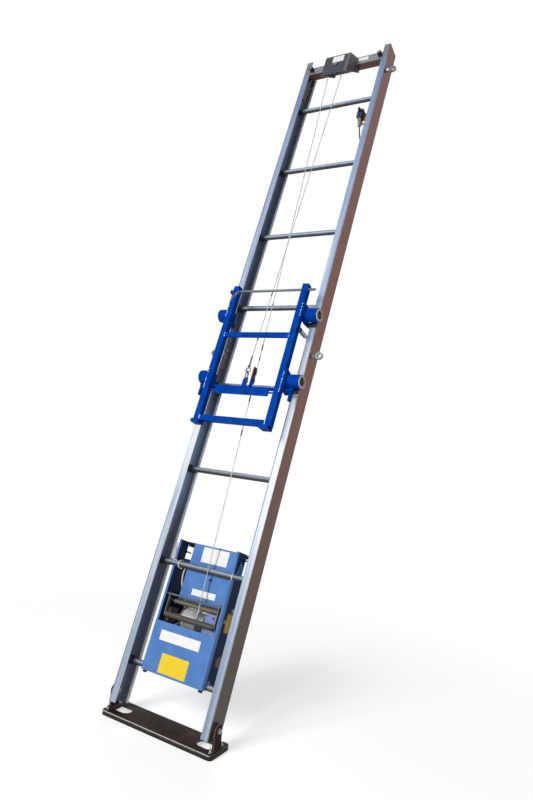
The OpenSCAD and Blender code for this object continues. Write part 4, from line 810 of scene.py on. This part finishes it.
# Thin black control cord over the upper covers, under its clip and between two grommets
cord_route = [(33.6, 110, 815.6), (33.6, 96, 816.2), (33.6, 85.5, 816.2), (33.7, 83, 814),
              (34.4, 83.2, 790), (33, 83.2, 760), (31, 83.2, 720), (29, 83.2, 690), (26.5, 83.2, 656),
              (29, 83.2, 620), (34, 83.2, 585), (37.4, 83.2, 556), (37.6, 84.4, 552)]
piece("control_cord", [sweep(smooth_path(cord_route, 4), 1, 10, RIGHT)], black_rubber)
grommet = [(3.6, 0), (3.8, 1), (3, 2), (1.4, 2.3)]
piece("cord_grommets", [turned(grommet, (37.6, PANEL_FRONT, 552), FRONT),
                        turned(grommet, (33.6, 111, WINCH_TOP), UP)], black_rubber)
piece("cord_clip", [slab((26.5, PANEL_FRONT, 656), RIGHT, UP, (17, 9), 3.4, 2, soft=0.6)], black_rubber)

# Brake release lever behind the housing's open corner
LEVER_BACK = 97
lever_path = smooth_path([(-178.5, LEVER_BACK, 764), (-168, LEVER_BACK, 763.5), (-156, LEVER_BACK, 762),
                          (-145, LEVER_BACK, 760)], 2)
lever_boss = [(7, 0), (7, 5), (5.5, 7), (2, 7.4)]
piece("brake_lever", [sweep(lever_path, np.linspace(4, 3.4, len(lever_path)), 12),
                      turned(lever_boss, (-WINCH_IN, LEVER_BACK, 764), RIGHT)], black_rubber)

# Fold along the roof's left edge, over the open corner, nearly black as painted shade
piece("roof_side_fold", [slab((-WINCH_IN, 153, 803.5), BACK, UP, (96, 17), 2, 1.5, soft=0.4)], painted_shade_sheet)

# Pointed steel tab that stands up from the second rung beside the housing
TAB_FRONT, TAB_T, TAB_EASE = 62, 4, 0.5
tab_outline = np.array([(-208, 711), (-208, 742), (-217, 780), (-222, 798), (-227, 794), (-237, 742),
                        (-233, 711)], float)
tab_middle = tab_outline.mean(0)
tab_levels = ((0.97, TAB_T), (1, TAB_T - TAB_EASE), (1, TAB_EASE), (0.97, 0))
tab_rows = [np.insert(tab_middle + (tab_outline - tab_middle) * share, 1, TAB_FRONT + y, 1)
            for share, y in tab_levels]
piece("rung_tab", [np.array(tab_rows)], hook_steel, smooth=False)

# Bolts of the buffers and of the joint plates, and lock nuts of the eye bolts
buffer_bolts = [((s * BUFFER_U, BUFFER_END, BEAM_MID), FRONT) for s in SIDES]
piece("buffer_bolts", hex_heads(buffer_bolts, *BUFFER_BOLT), zinc_steel)
joint_rows = [(SECTION_JOINT + d, 60) for d in (-75, -32, 32, 75)]
joint_rows += [(HEAD_JOINT + d, 76) for d in (-75, -32, 32)]
joint_bolts = [((s * JOINT_IN, y, v), (-s, 0, 0)) for s in SIDES for v, y in joint_rows]
piece("joint_plate_bolts", hex_heads(joint_bolts, *BOLT), zinc_steel)
eye_nuts = [((s * (HALF_W + EYE_COLLAR_T), EYE_BACK, v), (s, 0, 0)) for s, v in EYES]
piece("eye_nuts", hex_heads(eye_nuts, *EYE_NUT), zinc_steel)

# Limit switch: contact block, key plate, screws, ball of the plunger and ribs of the gland
piece("switch_contact_block", [slab((201, 2, SWITCH_V), BACK, DOWN, (26, 20), 7, 2.5, soft=1)], gland_grey)
piece("switch_key_plate", [slab((SWITCH_U, SWITCH_FRONT, 3494), RIGHT, UP, (30, 9), 1.6, 1.5, soft=0.4),
                           slab((235, -4, SWITCH_V), BACK, UP, (22, 26), 3, 2, soft=0.6)], key_blue)
switch_screws = [(SWITCH_U + s * 11, SWITCH_FRONT, 3478) for s in SIDES]
piece("switch_screws", [dome_head(at, FRONT, *SWITCH_SCREW) for at in switch_screws], zinc_steel)
BALL_R, GLAND_RIBS, GLAND_TILT = 8, 7, math.radians(30)
climb = np.linspace(-0.92, 0.92, 11) * TAU / 4
ball = BALL_R * np.stack([np.cos(climb), np.sin(climb)], -1)
piece("switch_ball", [turned(ball, (SWITCH_U, -38, 3514), FRONT)], switch_black)
along = np.linspace(0, 1, 64)
ribs = np.stack([10.3 + 1.1 * np.abs(np.sin(math.pi * GLAND_RIBS * along)), 12 + 46 * along], -1)
piece("gland_ribs", [turned(ribs, (SWITCH_U, -12, 3480), (0, math.sin(GLAND_TILT), -math.cos(GLAND_TILT)))],
      gland_grey)

# Carriage: weld beads over the gussets and beside the cross bars
WELD_U, WELD_RUNS, WELD_PITCH = 236.8, ((1613, 1731), (2052, 2126)), 10
BAR_WELDS, BAR_WELD_R, EAR_WELD_R = ((1922, 1948), (1426, 1454)), 2.4, 3
beads = [dome_head((s * WELD_U, -FRAME_FRONT, v), FRONT, *WELD_DOT)
         for s in SIDES for low, high in WELD_RUNS for v in np.arange(low, high, WELD_PITCH)]
beads += [bead([(s * BAR_IN, -FRAME_FRONT, v) for v in run], BAR_WELD_R) for s in SIDES for run in BAR_WELDS]
piece("carriage_welds", beads, weld_paint, "carriage")

# Steel sleeve on the striker peg, beside the rail's lip, and the strip that closes the lug's bar
PEG_V, SLEEVE_U, SLEEVE_R, SLEEVE_EASE = 1979, 242, 12.2, 0.6
tube = [(SLEEVE_R - SLEEVE_EASE, SLEEVE_FRONT), (SLEEVE_R, SLEEVE_FRONT + SLEEVE_EASE),
        (SLEEVE_R, SLEEVE_END - SLEEVE_EASE), (SLEEVE_R - SLEEVE_EASE, SLEEVE_END)]
piece("peg_sleeve", [turned(tube, (SLEEVE_U, 0, PEG_V), BACK, 32)], sleeve_steel, "carriage")
piece("lug_bar_strip", [slab((0, -77.5, 1621.8), RIGHT, UP, (332, 18), 5, 1.5, soft=0.5)], carriage_blue,
      "carriage")

# Black rubber rings on the bushes round the recess of each axle's bolt, which widen the recess's painted
# shade
BUSH_END, AXLE_FRONT, SHADE_RING, SHADE_RING_WIRE = 319, 37.8, 42, 4.4
for level, v in zip("ul", AXLE_VS):
    for side, s in zip("lr", SIDES):
        body = f"roller_{level}{side}"
        recess_shade_ring = ring((s * BUSH_END, -AXLE_FRONT, v), FRONT, UP, SHADE_RING, SHADE_RING, SHADE_RING_WIRE)
        piece(body + "_recess_shade_ring", [recess_shade_ring], black_rubber, body)

# Chain of the lock rod: a ring on the rod, links turned a quarter by turns, and the stud that holds the last
chain_top, chain_low, chain_links = np.array([-199, -105.4, 2203]), np.array([-236, -105.4, 2151]), 6
hang = unit(chain_low - chain_top)
aside = np.cross(hang, FRONT)
links = [ring((-198.5, -LOCK_ROD_FRONT, LOCK_ROD_V - 3), BACK, UP, 24, 22, 2)]
for k in range(chain_links):
    at = chain_top + (chain_low - chain_top) * (k + 0.5) / chain_links
    links.append(ring(at, hang, aside if k % 2 else FRONT, 14.5, 8.4, 2.4))
links.append(dome_head((-236.5, -FRAME_FRONT, 2150), FRONT, *CHAIN_STUD))
piece("lock_rod_chain", links, zinc_steel, "carriage")

# Rope end: sleeve over the rope, eye round the thimble, collar on the ferrule, pin and ring of the lug
EYE_R, EYE_V, EYE_CLOSES, EYE_GAP = 16.2, 1730, 1757, 2.6
rope_run = unit(carriage_path[0] - carriage_path[-1])
sleeve = [carriage_path[-1] + rope_run * d for d in (-3, 4, 12, 20, 27)]
piece("rope_sleeve", [sweep(sleeve, (6.3, 3.9, 3.7, 3.7, 3.2), 16)], black_rubber, "carriage")
around = np.linspace(-2.45, 2.45, 40)
loop = np.stack([LUG_U + EYE_R * np.sin(around), np.full_like(around, -LUG_FRONT),
                 EYE_V - EYE_R * np.cos(around)], -1)
loop = np.concatenate([[(LUG_U - EYE_GAP, -LUG_FRONT, EYE_CLOSES)], loop,
                       [(LUG_U + EYE_GAP, -LUG_FRONT, EYE_CLOSES)]])
piece("rope_eye", [stranded(loop, sides=14)], wire_rope, "carriage")
collar = [(6.2, 0), (7.2, 1), (7.2, 9), (6.2, 10)]
piece("ferrule_collar", [turned(collar, (LUG_U, -LUG_FRONT, 1748), UP)], black_rubber, "carriage")
pin_head = [(3.6, 0), (5.4, 0.5), (5.6, 3.6), (4.4, 4.6), (2, 5)]
piece("lug_pin", [turned(pin_head, (17.8, -LUG_FRONT, 1664), RIGHT)], zinc_steel, "carriage")
piece("lug_ring", [ring((24, -85, 1601), RIGHT, UP, 22, 20, 3.2)], black_rubber, "carriage")

# Foot: weld beads along both sides of the ears
ear_welds = [bead(from_row([(s * x, -40, FOOT_TOP), (s * x, 26, FOOT_TOP)]), EAR_WELD_R, RIGHT)
             for s in SIDES for x in (304, 313)]
piece("ear_welds", ear_welds, foot_steel, "foot")


# Eased edges on the CAD's own nodes

def ease(width, segments, names):
    """Rounded edges by modifiers: merge the loose triangles, join the flat ones, then bevel by width."""
    for name in names.split():
        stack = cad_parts[name].modifiers
        stack.new("merge", "WELD").merge_threshold = 1e-6
        flat = stack.new("join", "DECIMATE")
        flat.decimate_type, flat.angle_limit = "DISSOLVE", math.radians(1)
        edge = stack.new("ease", "BEVEL")
        edge.width, edge.segments, edge.limit_method = width / MM, segments, "ANGLE"
        edge.angle_limit = math.radians(40)


ease(3, 4, "foot_plate")
ease(2.5, 3, "foot_ears side_bars bottom_lips")
ease(1.2, 2, "cross_bars gussets head_beam pulley_box")
ease(0.9, 2, "winch_front_cover winch_mid_cover winch_top_cover winch_left_side winch_right_side rung_hooks")
ease(0.9, 2, "left_lower_rail right_lower_rail left_upper_rail right_upper_rail head_rails")


# Camera, light and ground, in metres of the row frame

def look_from(place, azimuth, elevation, roll):
    """Camera matrix: it looks along the azimuth and elevation and is turned by roll about that line."""
    azimuth, elevation, roll = (math.radians(a) for a in (azimuth, elevation, roll))
    ahead = Vector((-math.sin(azimuth) * math.cos(elevation), math.cos(azimuth) * math.cos(elevation),
                    math.sin(elevation)))
    right = ahead.cross(Vector(UP)).normalized()
    up = right.cross(ahead)
    x = right * math.cos(roll) + up * math.sin(roll)
    y = up * math.cos(roll) - right * math.sin(roll)
    return Matrix.Translation(place) @ Matrix((x, y, -ahead)).transposed().to_4x4()


camera_data = bpy.data.cameras.new("camera")
camera_data.lens, camera_data.sensor_width = 28.71, 36
camera = bpy.data.objects.new("camera", camera_data)
camera.matrix_world = look_from((1.86396, -2.39421, 1.45499), azimuth=31.58, elevation=2.24, roll=5.42)
bpy.context.scene.collection.objects.link(camera)
bpy.context.scene.camera = camera

AIM = (0, 0.6, 1.8)


def lamp(name, place, size, power):
    """Square soft light at a place, turned to the middle of the ladder."""
    light = bpy.data.lights.new(name, "AREA")
    light.size, light.energy = size, power
    obj = bpy.data.objects.new(name, light)
    facing = (Vector(AIM) - Vector(place)).to_track_quat("-Z", "Y")
    obj.matrix_world = Matrix.Translation(place) @ facing.to_matrix().to_4x4()
    bpy.context.scene.collection.objects.link(obj)


lamp("key_light", (-1.4, -6, 4.8), 3, 390)
lamp("fill_light", (3.4, -4.6, 2.4), 2, 95)
lamp("back_light", (-2.5, 5.5, 4.5), 3, 120)


def seen_by(tree, *rays):
    """1 for rays of those kinds, 0 for others."""
    kinds = add(tree, "LightPath", out=None)
    seen = kinds[rays[0]]
    for ray in rays[1:]:
        seen = add(tree, "Math", MOST, i0=seen, i1=kinds[ray])
    return seen


# White sky where it is seen, a weak light elsewhere
world = bpy.data.worlds.new("studio")
bpy.context.scene.world = world
world.use_nodes = True
tree = world.node_tree
tree.nodes.clear()
seen = seen_by(tree, "Is Camera Ray", "Is Glossy Ray", "Is Transmission Ray")
strength = add(tree, "MapRange", Value=seen, To_Min=0.1, To_Max=1)
sky = add(tree, "Background", Color=(1, 1, 1, 1), Strength=strength)
add(tree, "OutputWorld", out=None, Surface=sky)

# Pale floor with a soft shadow, which fades into the white sky away from the foot
GROUND_HALF, FADE_FROM, FADE_TO = 30, 0.9, 2.6
ground_mesh = bpy.data.meshes.new("ground")
corners = [(x * GROUND_HALF, y * GROUND_HALF, 0) for x, y in ((-1, -1), (1, -1), (1, 1), (-1, 1))]
ground_mesh.from_pydata(corners, [], [(0, 1, 2, 3)])
ground = bpy.data.objects.new("ground", ground_mesh)
bpy.context.scene.collection.objects.link(ground)
ground_paint = bpy.data.materials.new("pale_studio_floor")
ground_paint.use_nodes = True
tree = ground_paint.node_tree
shader = tree.nodes["Principled BSDF"]
shader.inputs["Base Color"].default_value = linear("#E6E6E6")
shader.inputs["Roughness"].default_value = 0.9
shader.inputs["Specular IOR Level"].default_value = 0
lit = add(tree, "AddShader", i0=shader.outputs[0], i1=add(tree, "Emission", Strength=0.5))
place = add(tree, "TexCoord", out="Object")
far = add(tree, "VectorMath", {"operation": "LENGTH"}, out="Value", i0=place)
away = add(tree, "MapRange", Value=far, From_Min=FADE_FROM, From_Max=FADE_TO)
white = add(tree, "MixShader", Fac=away, i1=lit, i2=add(tree, "Emission", Strength=1))
seen = seen_by(tree, "Is Camera Ray", "Is Glossy Ray")
mixed = add(tree, "MixShader", Fac=seen, i1=shader.outputs[0], i2=white)
tree.links.new(mixed, tree.nodes["Material Output"].inputs["Surface"])
ground_mesh.materials.append(ground_paint)

bpy.context.scene.view_settings.view_transform = "Standard"
